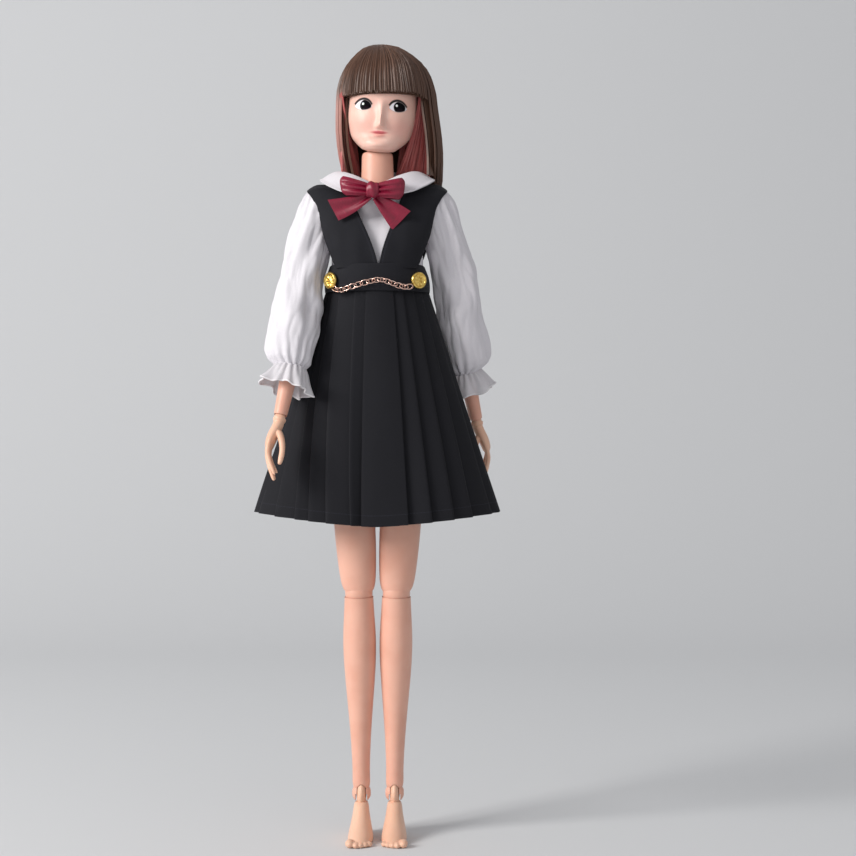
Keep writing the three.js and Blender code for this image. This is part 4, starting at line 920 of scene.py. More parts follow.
# The pink locks: how many, and where they start under the fringe and end above the collar, as ranges of x
# and of y.
pink_locks = {
    "right": (
        (170, (-13.2, -11.5), (-1.6, -4.6), (-11.8, -5.5), (-2.5, 4.0)),
        (70, (-10.5, -8.5), (5.0, 6.5), (-9.5, -5.6), (5.0, 6.5)),
    ),
    "left": (
        (260, (18.2, 14.3), (-0.6, -5.6), (18.4, 6.0), (2.0, 4.4)),
        (70, (11.5, 9.0), (5.5, 7.5), (10.0, 6.0), (5.5, 7.5)),
    ),
}
pink_top, pink_bend, pink_low = 252.8, 239, 225
for side, sign in BOTH_SIDES:
    inner_locks = Locks()
    outs = [Vector((sign, -1.2, 0)).normalized()] * 11
    for count, top_x, top_y, low_x, low_y in pink_locks[side]:
        for n in range(count):
            share = (n + random.random()) / count
            start_y = part_way(top_y, share) + random.uniform(0, 2.4)
            start = Vector((part_way(top_x, share), start_y, pink_top + random.uniform(-0.8, 0.8)))
            stop_y = part_way(low_y, share) + random.uniform(-1.2, 2.0)
            stop = Vector((part_way(low_x, share), stop_y, pink_low + random.uniform(-1, 1)))
            middle_x = start.x + (stop.x - start.x) * 0.13
            middle = Vector((middle_x, start.y * 0.3 + 0.35 * stop.y, pink_bend))
            path = [curve(start, middle, stop, i / 10) for i in range(11)]
            inner_locks.add(path, outs, 0.9 * random.uniform(0.7, 1.2), 0.45)
    inner = inner_locks.mesh("inner")
    finish_piece(inner, f"hair_pink_{side}", pink_fibre, "head", [f"hair_inner_{side}"], 60)

# The scalp under the locks: a thin cap, dyed like the hair so that no skin shows between them. The fibres
# are rooted in it, and it is open at the face.
hairline, cap_rows, cap_sides = 253, 30, 64
back_rows, back_drop = 21, 27
cap_steps = [0.3 + (step_at(hairline) - 0.3) * i / (cap_rows - 1) for i in range(cap_rows)]
cap_steps += [step_at(hairline - back_drop * i / back_rows) for i in range(1, back_rows + 1)]
vertices = [
    at(*hair_point(step, 2 * math.pi * k / cap_sides, -1.5)) for step in cap_steps for k in range(cap_sides)
]
faces = []
for number, face in enumerate(ring_faces(len(cap_steps), cap_sides)):
    row, k = divmod(number, cap_sides)
    if row < cap_rows or not curtain_right < 2 * math.pi * (k + 0.5) / cap_sides < curtain_left:
        faces.append(face)
faces.append(tuple(range(cap_sides - 1, -1, -1)))
places = [(1.7 * (v % cap_sides), v // cap_sides) for face in faces for v in face]
cap = mesh_piece("hair_cap", vertices, faces, "fibres", places)
tidy_mesh(cap)
apply_modifier(cap, "SOLIDIFY", thickness=0.8 * MM, offset=-1)
finish_piece(cap, "hair_root_cap", brown_fibre, "head", ["hair_outer"], 60)


# The blouse: thin white cotton, sewn as a plain body with full sleeves that are gathered into the
# shoulder and the cuff. Only a sliver of the body shows, in the V of the dress and beside the waist.
woven, group_in, group_out = new_group(
    "woven_cloth",
    [("Map", "Vector", (0, 0, 0)), ("Pitch", "Float", 0.3), ("Slant", "Float", 0.0),
     ("Colour", "Color", (0.8, 0.8, 0.8, 1)), ("Thread Colour", "Color", (0.6, 0.6, 0.6, 1))],
    SURFACE,
)
threads = add_node(woven, "SeparateXYZ", {0: group_in["Map"]})
turns = maths(woven, "DIVIDE", 2 * math.pi, group_in["Pitch"])
slanted = times_plus(woven, threads[1], group_in["Slant"], threads[0])
warp = maths(woven, "SINE", times(woven, slanted, turns))
weft = maths(woven, "SINE", times(woven, threads[1], turns))
crossing = times_plus(woven, times(woven, warp, weft), 0.5, 0.5)
slub = noise_on(woven, group_in["Map"], 2.4, 3.0)
cloud = noise_on(woven, group_in["Map"], 0.12, 2.0)
shade = times_plus(woven, cloud, 0.25, times_plus(woven, crossing, 0.45, times(woven, slub, 0.4)))
send(woven, group_out, {
    "Color": mixed(woven, shade, group_in["Colour"], group_in["Thread Colour"]),
    "Roughness": times_plus(woven, slub, 0.2, 0.68), "Height": times_plus(woven, slub, 0.5, crossing),
})

# A row of machine stitches at one distance from an edge of the cloth.
topstitch, group_in, group_out = new_group(
    "row_of_stitches",
    [("Distance", "Float", 0.0), ("Along", "Float", 0.0), ("Place", "Float", 1.0)],
    [("Mask", "Float")],
)
off_line = maths(topstitch, "ABSOLUTE", maths(topstitch, "SUBTRACT", group_in["Distance"], group_in["Place"]))
on_line = ramp(topstitch, off_line, 0.09, 0.17, 1.0, 0.0)
held_down = ramp(topstitch, maths(topstitch, "PINGPONG", group_in["Along"], 0.55), 0.04, 0.12)
send(topstitch, group_out, {"Mask": times(topstitch, on_line, held_down)})


def cloth_material(name, colour, thread, pitch, slant=0.0, stitch="", on_length=(), on_width=(), **plain):
    """Woven cloth, with rows of stitches at distances in mm along its length and across its width."""
    made, tree, sockets = new_material(name, Specular_IOR_Level=0.25, **plain)
    cloth_map = add_node(tree, "UVMap", {}, uv_map="cloth")[0]
    look = add_node(tree, "Group", {
        "Map": cloth_map, "Pitch": pitch, "Slant": slant,
        "Colour": srgb(colour), "Thread Colour": srgb(thread),
    }, node_tree=woven)
    width, length = add_node(tree, "SeparateXYZ", {0: cloth_map})[:2]
    colour_now, height_now = look["Color"], look["Height"]
    rows = [(length, width, place) for place in on_length] + [(width, length, place) for place in on_width]
    for distance, along, place in rows:
        inputs = {"Distance": distance, "Along": along, "Place": place}
        row = add_node(tree, "Group", inputs, node_tree=topstitch)["Mask"]
        colour_now = mixed(tree, row, colour_now, srgb(stitch))
        height_now = times_plus(tree, row, 3.0, height_now)
    send_surface(tree, sockets, colour_now, look["Roughness"], height_now, 0.3, 0.0001)
    return made


thin_cloth = {"Subsurface_Weight": 0.08, "Subsurface_Radius": (1.0, 0.95, 0.95), "Subsurface_Scale": 0.001}
white_cotton = cloth_material("white_cotton", "e9e6ea", "cdc9d0", 0.28, Sheen_Weight=0.1, **thin_cloth)


def sewn_sheet(name, across, along, point, thickness, closed=False, from_edge=0.0):
    """Cloth on a grid of points, with its threads mapped in mm, and the size that it was cut to."""
    columns = across if closed else across + 1
    rows = [[Vector(point(i / across, j / along)) for i in range(columns)] for j in range(along + 1)]
    run_u = [[0.0] for row in rows]
    for j, row in enumerate(rows):
        for i in range(1, across + 1):
            run_u[j].append(run_u[j][-1] + (row[i % columns] - row[i - 1]).length)
    run_v = [[0.0] * (across + 1)]
    for j in range(1, along + 1):
        steps = [(rows[j][i % columns] - rows[j - 1][i % columns]).length for i in range(across + 1)]
        run_v.append([run + step for run, step in zip(run_v[-1], steps)])
    faces, places = [], []
    for j in range(along):
        for i in range(across):
            corners = ((i, j), (i + 1, j), (i + 1, j + 1), (i, j + 1))
            faces.append([b * columns + a % columns for a, b in corners])
            places.extend((run_u[b][a], run_v[b][a] + from_edge) for a, b in corners)
    piece = mesh_piece(name, [at(*p) for row in rows for p in row], faces, "cloth", places)
    width = max(r[-1] for r in run_u) * MM
    length = max(run_v[-1]) * MM
    area = min(sum(p.area for p in piece.data.polygons), width * length)
    apply_modifier(piece, "SOLIDIFY", thickness=thickness * MM, offset=0)
    tidy_mesh(piece)
    return piece, (width, length, area)


def oval(table, z, angle, bulge=2.0, off=0.0):
    """A point on a body that is oval at each height. Rows are z, half width, half depth, x and y."""
    half_width, half_depth, x, y = row_at(table, z)
    c, s = (signed_power(part, 2 / bulge) for part in (math.cos(angle), math.sin(angle)))
    return Vector((x + (half_width + off) * c, y - (half_depth + off) * s, z))


chest_rows = [
    (165.2, 10, 7, 0, 1), (172, 10.6, 7.6, 0, 1), (180, 12.4, 8.8, 0, 0.6), (188, 14, 10.2, 0, 0),
    (195, 14.6, 11.2, 0, -0.6), (202, 14.4, 10.6, 0, -0.4), (209, 14.2, 8.8, 0, 0.2),
    (214, 14.4, 7.2, 0, 0.8), (217.5, 12.2, 6, 0, 1), (219.5, 8.4, 5.9, 0, 1), (221, 7.2, 6.2, 0, 1),
]
blouse_low, blouse_rise = 177, 43.6


def blouse_point(u, v):
    z = blouse_low + blouse_rise * v
    angle = 2 * math.pi * u
    front = max(0, math.sin(angle)) ** 2
    fold = 0.35 * front * math.sin(9 * math.cos(angle) + 2.2 * math.sin(z / 7)) * hill(z - 207, 14)
    return oval(chest_rows, z, angle, off=0.75 + fold)


blouse, cut = sewn_sheet("blouse", 128, 56, blouse_point, 0.35, True)
finish_piece(blouse, "blouse_front_and_back", white_cotton, "chest", ["blouse_body"], 60)


def along_arm(side, reach, upper):
    """The middle of the arm at a distance below its shoulder or its elbow, with its own directions."""
    start = pivot(f"arm_raise_{side}" if upper else f"elbow_bend_{side}")
    stop = pivot(f"elbow_bend_{side}" if upper else f"wrist_turn_{side}")
    down = (stop - start).normalized()
    out = Vector((-1 if side == "right" else 1, 0, 0))
    out = (out - down * out.dot(down)).normalized()
    middle = (start + down * reach * MM - at(0, 0, 0)) / MM
    return middle, out, down.cross(out).normalized()


# Each row of a sleeve: how far below the shoulder, half width, half depth and how far the cloth hangs out.
sleeve_rows = [
    (-6.9, 0.5, 0.5, 1.5), (-6.6, 2.6, 2.6, 1.3), (-5.4, 4.7, 4.7, 1.0), (-3, 6.0, 6.1, 0.8),
    (0, 6.7, 6.7, 0.8), (4, 7.0, 6.8, 1.3), (9.1, 7.0, 6.5, 2.1), (17.9, 7.1, 6.6, 2.4),
    (25.8, 7.3, 6.9, 2.5), (33, 7.7, 7.2, 2.0),
]
lower_rows = [
    (0, 8.0, 7.5, 1.6), (4, 8.2, 7.7, 1.5), (8, 8.4, 7.8, 1.5), (11.5, 8.4, 7.7, 1.5), (15, 8.1, 7.3, 1.3),
    (17.2, 7.1, 6.4, 0.9), (18.5, 5.4, 5.1, 0.4), (19.3, 4.5, 4.4, 0),
]
sleeve_start, sleeve_end = sleeve_rows[0][0], lower_rows[-1][0]
for side, sign in BOTH_SIDES:
    shoulder, elbow = pivot(f"arm_raise_{side}"), pivot(f"elbow_bend_{side}")
    upper_length = (shoulder - elbow).length / MM
    whole_rows = sleeve_rows + [(upper_length + r[0], *r[1:]) for r in lower_rows]

    def sleeve_point(u, v):
        angle = 2 * math.pi * u
        run = sleeve_start + (upper_length + sleeve_end - sleeve_start) * v ** 0.9
        half_width, half_depth, hang = row_at(whole_rows, run)
        middle, out, forward = along_arm(side, run, True)
        share = min(max((run - upper_length + 4) / 8, 0), 1)
        share = share * share * (3 - 2 * share)
        middle = middle * (1 - share) + along_arm(side, run - upper_length, False)[0] * share
        c, s = math.cos(angle), math.sin(angle)
        body = min(1, max(0, (run + 6) / 5))
        to_cuff = upper_length + sleeve_end - run
        gathers = 0.55 * math.exp(-to_cuff / 4.5) * min(1, to_cuff / 1.2 + 0.4)
        pull = gathers * math.cos(17 * angle + 1.6 * math.sin(2 * angle + sign))
        at_shoulder = 0.42 * hill(run - 1, 6) * body * max(0, c + 0.4)
        pull += at_shoulder * math.cos(12 * angle + 1.9 * math.sin(angle))
        soft = noise.noise(Vector((2.1 * c + 5 * sign, 2.1 * s, run / 15)))
        sharp = noise.noise(Vector((3.6 * c, 3.6 * s + 9 * sign, run / 9 + 3)))
        at_elbow = hill(run - upper_length + 1, 8) * (0.35 - 0.3 * c)
        crease = at_elbow * math.sin(run / 1.9 + 2.2 * c + 1.2 * sign)
        size = pull + body * min(1, to_cuff / 4) * (1.3 * soft + 0.7 * abs(sharp) - 0.15 + 0.8 * crease)
        return middle + out * (hang + (half_width + size) * c) + forward * (half_depth + size) * s

    sleeve, cut = sewn_sheet("sleeve", 132, 110, sleeve_point, 0.32, True)
    covered = [f"sleeve_upper_{side}", f"sleeve_lower_{side}"]
    finish_piece(sleeve, f"sleeve_{side}", white_cotton, None, covered, 60)
    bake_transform(sleeve)


# The cuffs: a frill of the same cotton, thinner and a little sheer, let go from the gathering thread, with
# a narrow rolled edge.
sheer_cotton = cloth_material("sheer_cotton", "f0eef0", "d6d2d9", 0.28, Alpha=0.74, **thin_cloth)
edge_thread = cloth_material("edge_thread", "f7f5f6", "d9d5da", 0.5)
frill_start, frill_drop, edge_radius = 19.0, 7.6, 0.27
frill_narrow, frill_widening = 4.3, 3.3
for side, sign in BOTH_SIDES:

    def frill_point(u, v, out_by=0.0):
        angle = 2 * math.pi * u
        c, s = math.cos(angle), math.sin(angle)
        middle, out, forward = along_arm(side, frill_start + frill_drop * v, False)
        deep = 0.95 * v * math.cos(6 * angle + 1.8 * math.sin(angle + sign) + 0.5 * sign)
        deep += 0.6 * v ** 1.5 * math.cos(11 * angle + 2.4 * math.sin(angle + 2) + sign)
        deep += 0.35 * (1 - v) * math.cos(19 * angle)
        deep += 1.3 * v * noise.noise(Vector((1.6 * c, 1.6 * s, 4 + sign + v)))
        radius = frill_narrow + frill_widening * v ** 0.8 + deep + out_by
        drop = 0.5 * v * math.sin(6 * angle + 1.1) - 0.9 * v * v * c
        down = out.cross(forward)
        return middle + out * 1.12 * radius * c + forward * radius * s + down * drop

    cuff, cut = sewn_sheet("cuff", 168, 26, frill_point, 0.22, True)
    lower_arm = f"forearm_{side}"
    finish_piece(cuff, f"cuff_frill_{side}", sheer_cotton, lower_arm, [f"cuff_{side}"], 60)

    def edge_point(u, v):
        middle = frill_point(u, 1.0)
        outward = (frill_point(u, 1.0, 1.0) - middle).normalized()
        run = (frill_point(u + 0.002, 1.0) - middle).normalized()
        up = run.cross(outward).normalized()
        turn = 2 * math.pi * v
        return middle + outward * edge_radius * math.cos(turn) + up * edge_radius * math.sin(turn)

    edge = sewn_sheet("edge", 168, 8, edge_point, 0.04, True)[0]
    finish_piece(edge, f"cuff_rolled_edge_{side}", edge_thread, lower_arm, [], 80)


# The collar: two halves of double cotton. Each rises round the neck, folds over and lies on the shoulder
# with its outer tip standing off.

# Round from the front, in degrees: how far the fold and the outer edge lie from the middle, and their height.
collar_fold = [
    (8, 7.2, 222.2), (25, 8.2, 223.2), (50, 10.3, 225.2), (75, 11.6, 226.7), (95, 11.6, 227.3),
    (130, 9.8, 227.9), (178, 8.6, 228.2),
]
collar_edge = [
    (8, 13.4, 216.8), (25, 15.6, 217.9), (45, 17.2, 219.2), (62, 18.6, 221.4), (78, 19.6, 223.6),
    (92, 18.9, 224.5), (130, 15.2, 223.9), (178, 13.6, 223.0),
]
stand_share, stand_reach, stand_z = 0.3, 6.9, 221.2
collar_from, collar_round = 8, 170
for side, sign in BOTH_SIDES:

    def collar_point(u, v):
        around = collar_from + collar_round * u
        fold, edge = row_at(collar_fold, around), row_at(collar_edge, around)
        if v < stand_share:
            t = v / stand_share
            reach = part_way((stand_reach, fold[0]), t ** 1.5)
            z = part_way((stand_z, fold[1]), t)
        else:
            t = (v - stand_share) / (1 - stand_share)
            reach, z = (part_way(ends, t) for ends in zip(fold, edge))
            z += 0.9 * math.sin(math.pi * min(1, t * 1.15)) * (1 - 0.4 * t)
            z += 0.35 * t * noise.noise(Vector((u * 5, t * 2, 3 + sign)))
        angle = math.radians(around)
        return (sign * reach * math.sin(angle), 1 - reach * math.cos(angle), z)

    collar, cut = sewn_sheet("collar", 72, 34, collar_point, 0.55)
    finish_piece(collar, f"collar_half_{side}", white_cotton, "chest", [f"collar_{side}"], 60)


# The dress: a pinafore in near-black twill. Its bodice is cut to a deep V in front and to straps that
# lie over the sleeve heads, and a row of stitches runs along its inner edge.
def twill(name, colour, thread, stitch, sheen, **rows):
    """The dress cloth, whose threads cross on a slant."""
    return cloth_material(name, colour, thread, 0.34, 1.0, stitch, Sheen_Weight=sheen, **rows)


bodice_twill = twill("bodice_twill", "0e0e13", "191920", "24242c", 0.05, on_width=(1.0,))
bodice_low, bodice_top = 193.5, 222.7
# Up the bodice: the height, half width, half depth and how far back its middle lies. Then, at each height,
# the inner edge of a front half, that of the back, and the outer edge of both.
bodice_rows = [
    (193.5, 16.4, 13.2, -0.4), (195.3, 16.6, 13.4, -0.4), (201, 18.4, 13.4, -0.4), (207, 20.1, 12.3, 0),
    (213, 21.6, 10.8, 0.4), (217.9, 24.6, 8.9, 0.8), (220.8, 26.0, 6.4, 1), (222.2, 26.2, 3.4, 1),
    (222.7, 26.2, 0.3, 1),
]
front_inner = {
    "right": [(193.5, -0.6), (194.6, -0.5), (222.7, 9.7)],
    "left": [(193.5, 0.9), (194.6, 1.0), (222.7, 9.4)],
}
back_inner = [(193.5, 0.05), (212, 0.05), (214.5, 2.5), (217, 6.5), (219.5, 8.9), (222.7, 9.7)]
bodice_outer = [
    (193.5, 13.6), (195.3, 14.3), (199, 15.8), (204.8, 17.8), (210, 18.9), (214, 19.9), (217.5, 21.7),
    (220.5, 23.4), (222.7, 23.6),
]
for side, sign in BOTH_SIDES:

    def bodice_point(u, v):
        rising = v < 0.5
        rise = math.sin((v if rising else 1 - v) * math.pi) ** 1.15
        z = part_way((bodice_low, bodice_top), rise)
        inner = smooth_between(front_inner[side] if rising else back_inner, z)
        x = part_way((inner, smooth_between(bodice_outer, z)), u)
        half_width, half_depth, y = row_at(bodice_rows, z)
        depth = half_depth * (1 - min(x / half_width, 0.995) ** 3) ** (1 / 3)
        edge_drop = 1.9 * max(0, (x - 19.5) / 4) ** 2 * rise ** 8
        ripple = 0.22 * noise.noise(Vector((x / 4, z / 7, 2 * sign + (0 if rising else 5)))) * (1 - rise ** 6)
        return (sign * x, y + (depth + ripple) * (-1 if rising else 1), z - edge_drop)

    strap, cut = sewn_sheet("bodice", 44, 128, bodice_point, 0.5)
    finish_piece(strap, f"dress_bodice_{side}", bodice_twill, "chest", ["dress_bodice"], 60)


# The waistband: a strip of the same twill, folded over and stitched along both edges. It joins the bodice
# to the skirt.
band_rows = [(185.8, 17.5, 13.9, 0, 0), (190.5, 17.1, 14.0, 0, -0.2), (194.8, 15.8, 14.1, 0, -0.4)]
band_cut, band_turned, band_low, band_rise, band_bulge = 12.8, 1.9, 185.9, 8.8, 2.3


def band_point(u, v):
    run = band_cut * v
    to_edge = min(run, band_cut - run) / band_turned
    if to_edge < 1:
        rounding = 0.95 * (1 - to_edge) ** 2
        z = band_low + rounding if v < 0.5 else band_low + band_rise - rounding
        off = 0.55 * to_edge - 0.5
    else:
        t = (run - band_turned) / (band_cut - 2 * band_turned)
        z, off = band_low + band_rise * t, 0.05 + 0.28 * max(0, math.sin(math.pi * t)) ** 0.6
    angle = 2 * math.pi * u
    off += 0.12 * noise.noise(Vector((3 * math.cos(angle), 3 * math.sin(angle), z / 5)))
    return oval(band_rows, z, angle, band_bulge, off)


band_twill = twill("band_twill", "0f0f14", "1a1a21", "26262f", 0.05, on_length=(3.0, 10.2))
band, cut = sewn_sheet("band", 160, 44, band_point, 0.3, True)
finish_piece(band, "dress_waistband", band_twill, "chest", ["waistband"], 60)


# The skirt: knife pleats pressed outwards from one wide plain panel at the front, closed at the band and
# standing open at the hem, which is turned up and stitched. It is made as two top pieces from the band and
# two lower ones down to the hem. The left ones lap over the right ones in front and under them at the back.
skirt_twill = twill("skirt_twill", "0c0c11", "16161d", "1f1f27", 0.06, on_length=(3.6,))
skirt_top, skirt_length, hem_rise, seam_share = 188.6, 80.9, 4.0, 0.6
# Half width and half depth at the band and at a measured distance below it.
band_halves, low_halves, low_at = (16.6, 13.1), (40.5, 23.0), 78
skirt_bulge = 1.85
# Each front fold: its distance from the middle at the hem and at the band. The lap is the right half's first.
hem_reach, band_reach = 41.5, 17.1
lap = (4.6, 3.4)
front_folds = {
    "right": ((8, 7.2), (16.2, 12.4), (22.3, 14.6), (27, 15.6), (33.8, 16.3), (39.6, 16.7)),
    "left": ((10.6, 5.4), (18.5, 8.6), (26, 12), (32.1, 14.6), (38.6, 16.4)),
}
back_fold, back_count = math.pi - 0.02, 9
# Across one pleat: the share of its width, and how much of the pleat's depth the cloth stands out.
pleat_shape = ((0.06, 0.0), (0.3, 0.25), (0.6, 0.6), (0.85, 0.92), (0.97, 1.0), (1.0, 0.93))
plain_level, pleat_depth, pleat_at_band = 0.92, 1.9, 0.45


def skirt_oval(angle, share, off):
    """A point of the skirt, from the angle from the front middle, how far down it is and how far out."""
    grown = share * skirt_length / low_at
    half_width, half_depth = (part_way(ends, grown) + off for ends in zip(band_halves, low_halves))
    c, s = (signed_power(part, 2 / skirt_bulge) for part in (math.sin(angle), math.cos(angle)))
    lift = hem_rise * abs(math.sin(angle)) ** 1.5
    return Vector((half_width * c, -half_depth * s, skirt_top - share * (skirt_length - lift)))


def fold_at(hem, top):
    """The angles of a fold at the hem and at the band, from its distances across the skirt."""
    shares = (hem / hem_reach, top / band_reach)
    return tuple(math.asin(min(1, share) ** (skirt_bulge / 2)) for share in shares)


def beside(fold, by, level):
    return (fold[0] + by, fold[1] + by, level)


for side, sign in BOTH_SIDES:
    folds = [fold_at(*distances) for distances in front_folds[side]]
    last = folds[-1]
    for k in range(1, back_count + 1):
        folds.append(tuple(part_way((end, back_fold), k / back_count) for end in last))
    start = fold_at(*lap)
    if side == "left":
        start = (-start[0], -start[1])
        pleat_path = [beside(start, 0.03, 0.3), beside(start, 0.001, 0.72), beside(start, 0, plain_level)]
    else:
        pleat_path = [(-0.04, -0.04, 0.05), (start[0] * 0.5, start[1] * 0.5, 0.02)]
    for n, fold in enumerate(folds):
        plain = side == "left" and n == 0
        for share, level in pleat_shape:
            hem_and_band = (part_way(ends, share) for ends in zip(start, fold))
            pleat_path.append((*hem_and_band, plain_level if plain else level))
        pleat_path += [beside(fold, 0.001, 0.7), beside(fold, -0.03, 0.22)]
        start = beside(fold, -0.012, 0)
    if side == "right":
        pleat_path[-1] = (math.pi + 0.1, math.pi + 0.1, 0.05)

    def skirt_point(u, v):
        run = u * (len(pleat_path) - 1)
        i = min(int(run), len(pleat_path) - 2)
        at_hem, at_band, level = (part_way(ends, run - i) for ends in zip(pleat_path[i], pleat_path[i + 1]))
        share = 1 - v
        angle = part_way((at_band, at_hem), share ** 0.8)
        sway = 0.5 * share * noise.noise(Vector((angle * 2.2, share * 2.5, 4 * sign)))
        out = part_way((pleat_at_band, pleat_depth), share ** 0.9) * (level - 1) + sway + 0.3 * share
        swing = 0.012 * share * noise.noise(Vector((angle * 3 + 7, share * 1.6, sign)))
        p = skirt_oval(angle + swing, share, out)
        return (sign * p.x, p.y, p.z)

    def upper_point(u, v):
        return skirt_point(u, part_way((seam_share, 1), v))

    def lower_point(u, v):
        return skirt_point(u, seam_share * v)

    columns = 2 * (len(pleat_path) - 1)
    top, cut = sewn_sheet("skirt_top", columns, 32, upper_point, 0.28, from_edge=seam_share * skirt_length)
    finish_piece(top, f"skirt_top_{side}", skirt_twill, None, ["skirt"], 35)
    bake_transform(top)
    half, cut = sewn_sheet("skirt", columns, 48, lower_point, 0.28)
    finish_piece(half, f"skirt_half_{side}", skirt_twill, None, ["skirt"], 35)
    hip = pivot(f"hip_flex_{side}")
    high, low = hip + Vector((0, -0.004, 0.018)), hip + Vector((0, -0.028, -0.016))
    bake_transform(half)


# The buttons: stamped gold-coloured metal with a raised rim and a plain rosette. Each has a shank behind
# it, through which it is sewn to the waistband.
def worn_metal(name, bright, dull, scale, detail, low, spread, polish):
    """Bare metal in two tones, rougher where it is worn."""
    made, tree, sockets = new_material(name, Metallic=1.0)
    worn = noise_on(tree, own_position(tree), scale, detail)
    colour = mixed(tree, ramp(tree, worn, low, 0.7), srgb(bright), srgb(dull))
    send(tree, sockets, {"Base Color": colour, "Roughness": times_plus(tree, worn, spread, polish)})
    return made


gold = worn_metal("stamped_gold", "f2d27a", "c79f4c", 1500.0, 4.0, 0.4, 0.25, 0.18)
# From the middle of the button over its rim to its back: the distance out, and how far forward.
button_outline = [
    (0, 0.75), (0.35, 0.75), (0.6, 0.72), (0.9, 0.5), (1.3, 0.52), (1.75, 0.5), (1.95, 0.62), (2.1, 0.95),
    (2.35, 1.1), (2.6, 1.0), (2.8, 0.7), (2.8, 0.3), (2.3, 0.0), (1.2, -0.1), (0.7, -0.6), (0, -0.6),
]
button_sides, petals = 48, 8
inwards, forwards = 1.2, 0.3
for (side, sign), turn in zip(BOTH_SIDES, (-42, 30)):
    low, high = (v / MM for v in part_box(f"button_{side}"))
    middle = (low + high) / 2 + Vector((-sign * inwards, -forwards, 0))
    vertices = []
    for radius, rise in button_outline:
        for k in range(button_sides):
            angle = 2 * math.pi * k / button_sides
            petal = 0.14 * math.cos(petals * angle) * hill(radius - 1.3, 0.5) if rise > 0.2 else 0
            spot_now = Vector((radius * math.cos(angle), -(rise + petal), radius * math.sin(angle)))
            vertices.append(spot_now * MM)
    button = mesh_piece("button", vertices, ring_faces(len(button_outline), button_sides))
    tidy_mesh(button, 0.00001)
    placed = Matrix.Translation(middle * MM) @ Matrix.Rotation(math.radians(turn), 4, "Z")
    finish_piece(button, f"gold_button_{side}", gold, "chest", [f"button_{side}"], 50, placed)


# The chain: open oval links of rose-gold wire, each through the next, that hangs in two swags between the
# buttons and is caught up in the middle.
rose_gold = worn_metal("rose_gold_wire", "f8dacd", "d6a391", 1900.0, 3.0, 0.35, 0.2, 0.16)
# Where the chain hangs: across the band, and above or below its height.
chain_stops = [
    (-14.6, -3.1), (-12.6, -4.0), (-9.4, -3.3), (-5.6, -2.2), (-1.7, -1.2), (1.7, -0.8), (5.1, -1.8),
    (8.6, -2.9), (11.6, -2.9),
]
chain_height, chain_off = 190, 1.15
link_count, link_half_length, link_half_width, wire_radius = 15, 1.5, 0.92, 0.2
link_sides, wire_sides = 28, 8
band_depth, band_half = 14.35, 17.6


def band_front(x):
    return -band_depth * (1 - (abs(x) / band_half) ** band_bulge) ** (1 / band_bulge)


def chain_spot(share):
    run = share * (len(chain_stops) - 1)
    i = min(int(run), len(chain_stops) - 2)
    x = part_way((chain_stops[i][0], chain_stops[i + 1][0]), run - i)
    return Vector((x, band_front(x) - chain_off, chain_height + smooth_between(chain_stops, x)))


vertices, faces = [], []
for n in range(link_count):
    share = (n + 0.5) / link_count
    middle = chain_spot(share)
    ahead = (chain_spot(min(1, share + 0.02)) - chain_spot(max(0, share - 0.02))).normalized()
    facing_out = (Vector((0, -1, 0)) + ahead * ahead.y).normalized()
    across = ahead.cross(facing_out).normalized()
    lean = (0.62 if n % 2 else -0.62) + 0.12 * math.sin(2.3 * n)
    wide = across * math.cos(lean) + facing_out * math.sin(lean)
    upright = ahead.cross(wide).normalized()
    faces += ring_faces(link_sides, wire_sides, len(vertices), True)
    for i in range(link_sides):
        c, s = math.cos(2 * math.pi * i / link_sides), math.sin(2 * math.pi * i / link_sides)
        spoke = ahead * link_half_length * c + wide * link_half_width * s
        outward = (ahead * c / link_half_length + wide * s / link_half_width).normalized()
        for k in range(wire_sides):
            turn = 2 * math.pi * k / wire_sides
            off = (outward * math.cos(turn) + upright * math.sin(turn)) * wire_radius
            vertices.append(at(*(middle + spoke + off)))
chain = mesh_piece("chain", vertices, faces)
tidy_mesh(chain)
finish_piece(chain, "waist_chain", rose_gold, "chest", ["chain"], 80)


# The bow: crimson satin ribbon, two loops and two tails gathered under one knot, stitched to the collar.
# The satin has fine ribs across it and a bright turn at each fold.
satin, tree, sockets = new_material("crimson_satin", Specular_IOR_Level=0.5, Anisotropic=0.6)
ribbon_map = add_node(tree, "UVMap", {}, uv_map="cloth")[0]
ribs = noise_on(tree, stretched(tree, ribbon_map, 0.5, 7.0), 1.0, 3.0)
colour = mixed(tree, ramp(tree, ribs, 0.3, 0.75), srgb("700a28"), srgb("921437"))
send_surface(tree, sockets, colour, times_plus(tree, ribs, 0.2, 0.26), ribs, 0.25, 0.0001)
bow_front = -13.6
knot_x, knot_z, knot_half = -1.2, 219.0, 1.6
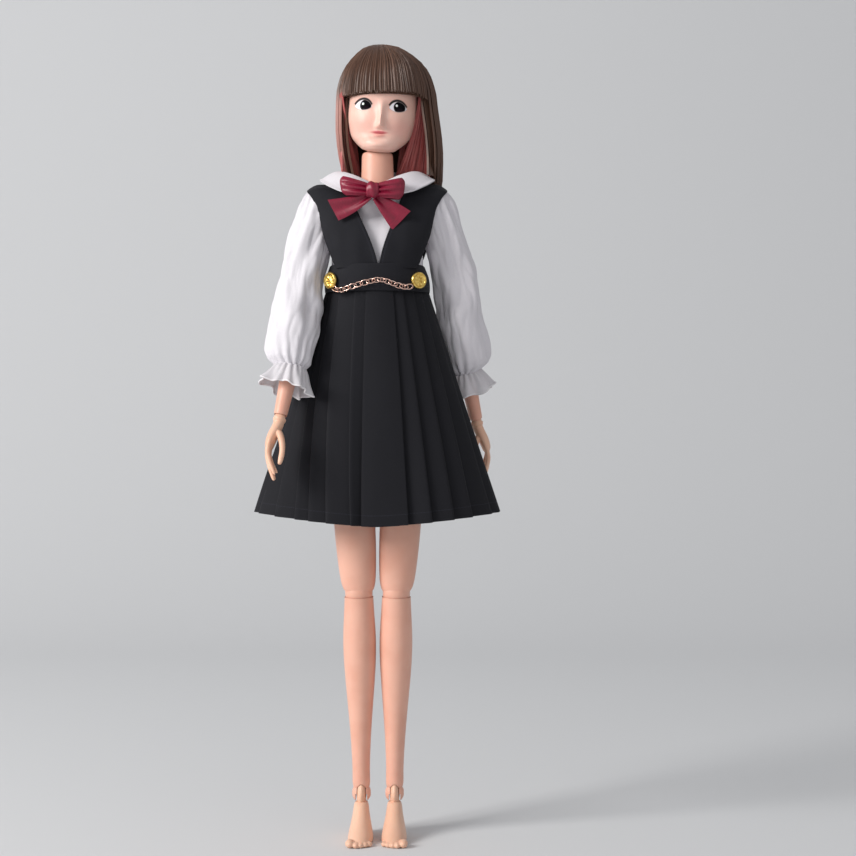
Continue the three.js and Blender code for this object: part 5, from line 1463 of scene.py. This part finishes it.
# The end of each loop: its place, and half its width. Each tail: where it leaves the knot, then the ends of
# its upper and lower edges, and the points that bend these edges.
loops = {"right": (-11.8, 220.6, 3.1), "left": (9.3, 219.6, 3.5)}
tails = {
    "right": ((-2.2, 217.4), (-16.2, 216.0), (-12.6, 209.2), (-6.6, 216.9), (-6.2, 211.8)),
    "left": ((-0.4, 217.0), (11.4, 212.2), (5.3, 206.0), (6.8, 215.2), (1.7, 211.2)),
}
ribbons = []
for side, sign in BOTH_SIDES:
    end_x, end_z, end_half = loops[side]

    def loop_point(u, v):
        across = 2 * u - 1
        spread = (1 - math.cos(2 * math.pi * v)) / 2
        x = part_way((knot_x, end_x), spread)
        z = part_way((knot_z, end_z), spread) + across * part_way((knot_half, end_half), spread ** 0.6)
        puff = 2.1 * math.sin(2 * math.pi * v) * (1 - 0.25 * across * across)
        pleat = 0.5 * (1 - spread) ** 0.6 * math.cos(3.2 * math.pi * across) * (1 if v < 0.5 else 0.3)
        soft = 0.5 * noise.noise(Vector((x / 3, across * 1.5, 2 + v)))
        rounded = (end_x - knot_x) * 0.13 * across ** 4 * spread
        lean = 0.5 * across * spread * sign
        return (x + lean - rounded, bow_front - puff - pleat - soft * spread, z)

    ribbons.append(sewn_sheet("loop", 26, 56, loop_point, 0.3))
for side, sign in BOTH_SIDES:
    (root_x, root_z), end_high, end_low, mid_high, mid_low = tails[side]
    upper_edge = ((root_x + 0.6 * sign, root_z + 1.1), mid_high, end_high)
    lower_edge = ((root_x - 0.6 * sign, root_z - 1.0), mid_low, end_low)

    def tail_point(u, v):
        stops = [[part_way(ends, u) for ends in zip(high, low)] for high, low in zip(upper_edge, lower_edge)]
        x, z = (curve(*places, v) for places in zip(*stops))
        wave = 0.9 * math.sin(2.6 * math.pi * u + 0.6) * (1 - 0.45 * v) + 0.7 * math.sin(2.4 * v + 2 * u)
        return (x, bow_front + 0.75 - 0.55 * wave + 0.3 * v, z)

    ribbons.append(sewn_sheet("tail", 26, 34, tail_point, 0.3))
bpy.ops.object.select_all(action="DESELECT")
for piece, cut in ribbons:
    piece.select_set(True)
bow = ribbons[0][0]
bpy.context.view_layer.objects.active = bow
bpy.ops.object.join()
bow_nodes = ["bow_loop_right", "bow_loop_left", "bow_tail_right", "bow_tail_left"]
finish_piece(bow, "bow_ribbon", satin, "chest", bow_nodes, 50)


knot_half_width, knot_depth, knot_height = 2.05, 1.75, 1.45


def knot_point(u, v):
    angle = 2 * math.pi * u
    across = 2 * v - 1
    round_end = (1 - abs(across) ** 3.2) ** 0.4 if abs(across) < 1 else 0
    fold = 0.16 * math.cos(5 * across + 1.2 * math.sin(angle))
    reach = knot_depth * (0.35 + 0.65 * round_end) + fold
    x, z = knot_x + knot_half_width * across, knot_z + 0.1 + knot_height * reach * math.sin(angle)
    return (x, bow_front - 1.1 - reach * math.cos(angle), z)


knot = sewn_sheet("knot", 48, 28, knot_point, 0.3, True)[0]
finish_piece(knot, "bow_centre", satin, "chest", ["bow_knot"], 60)
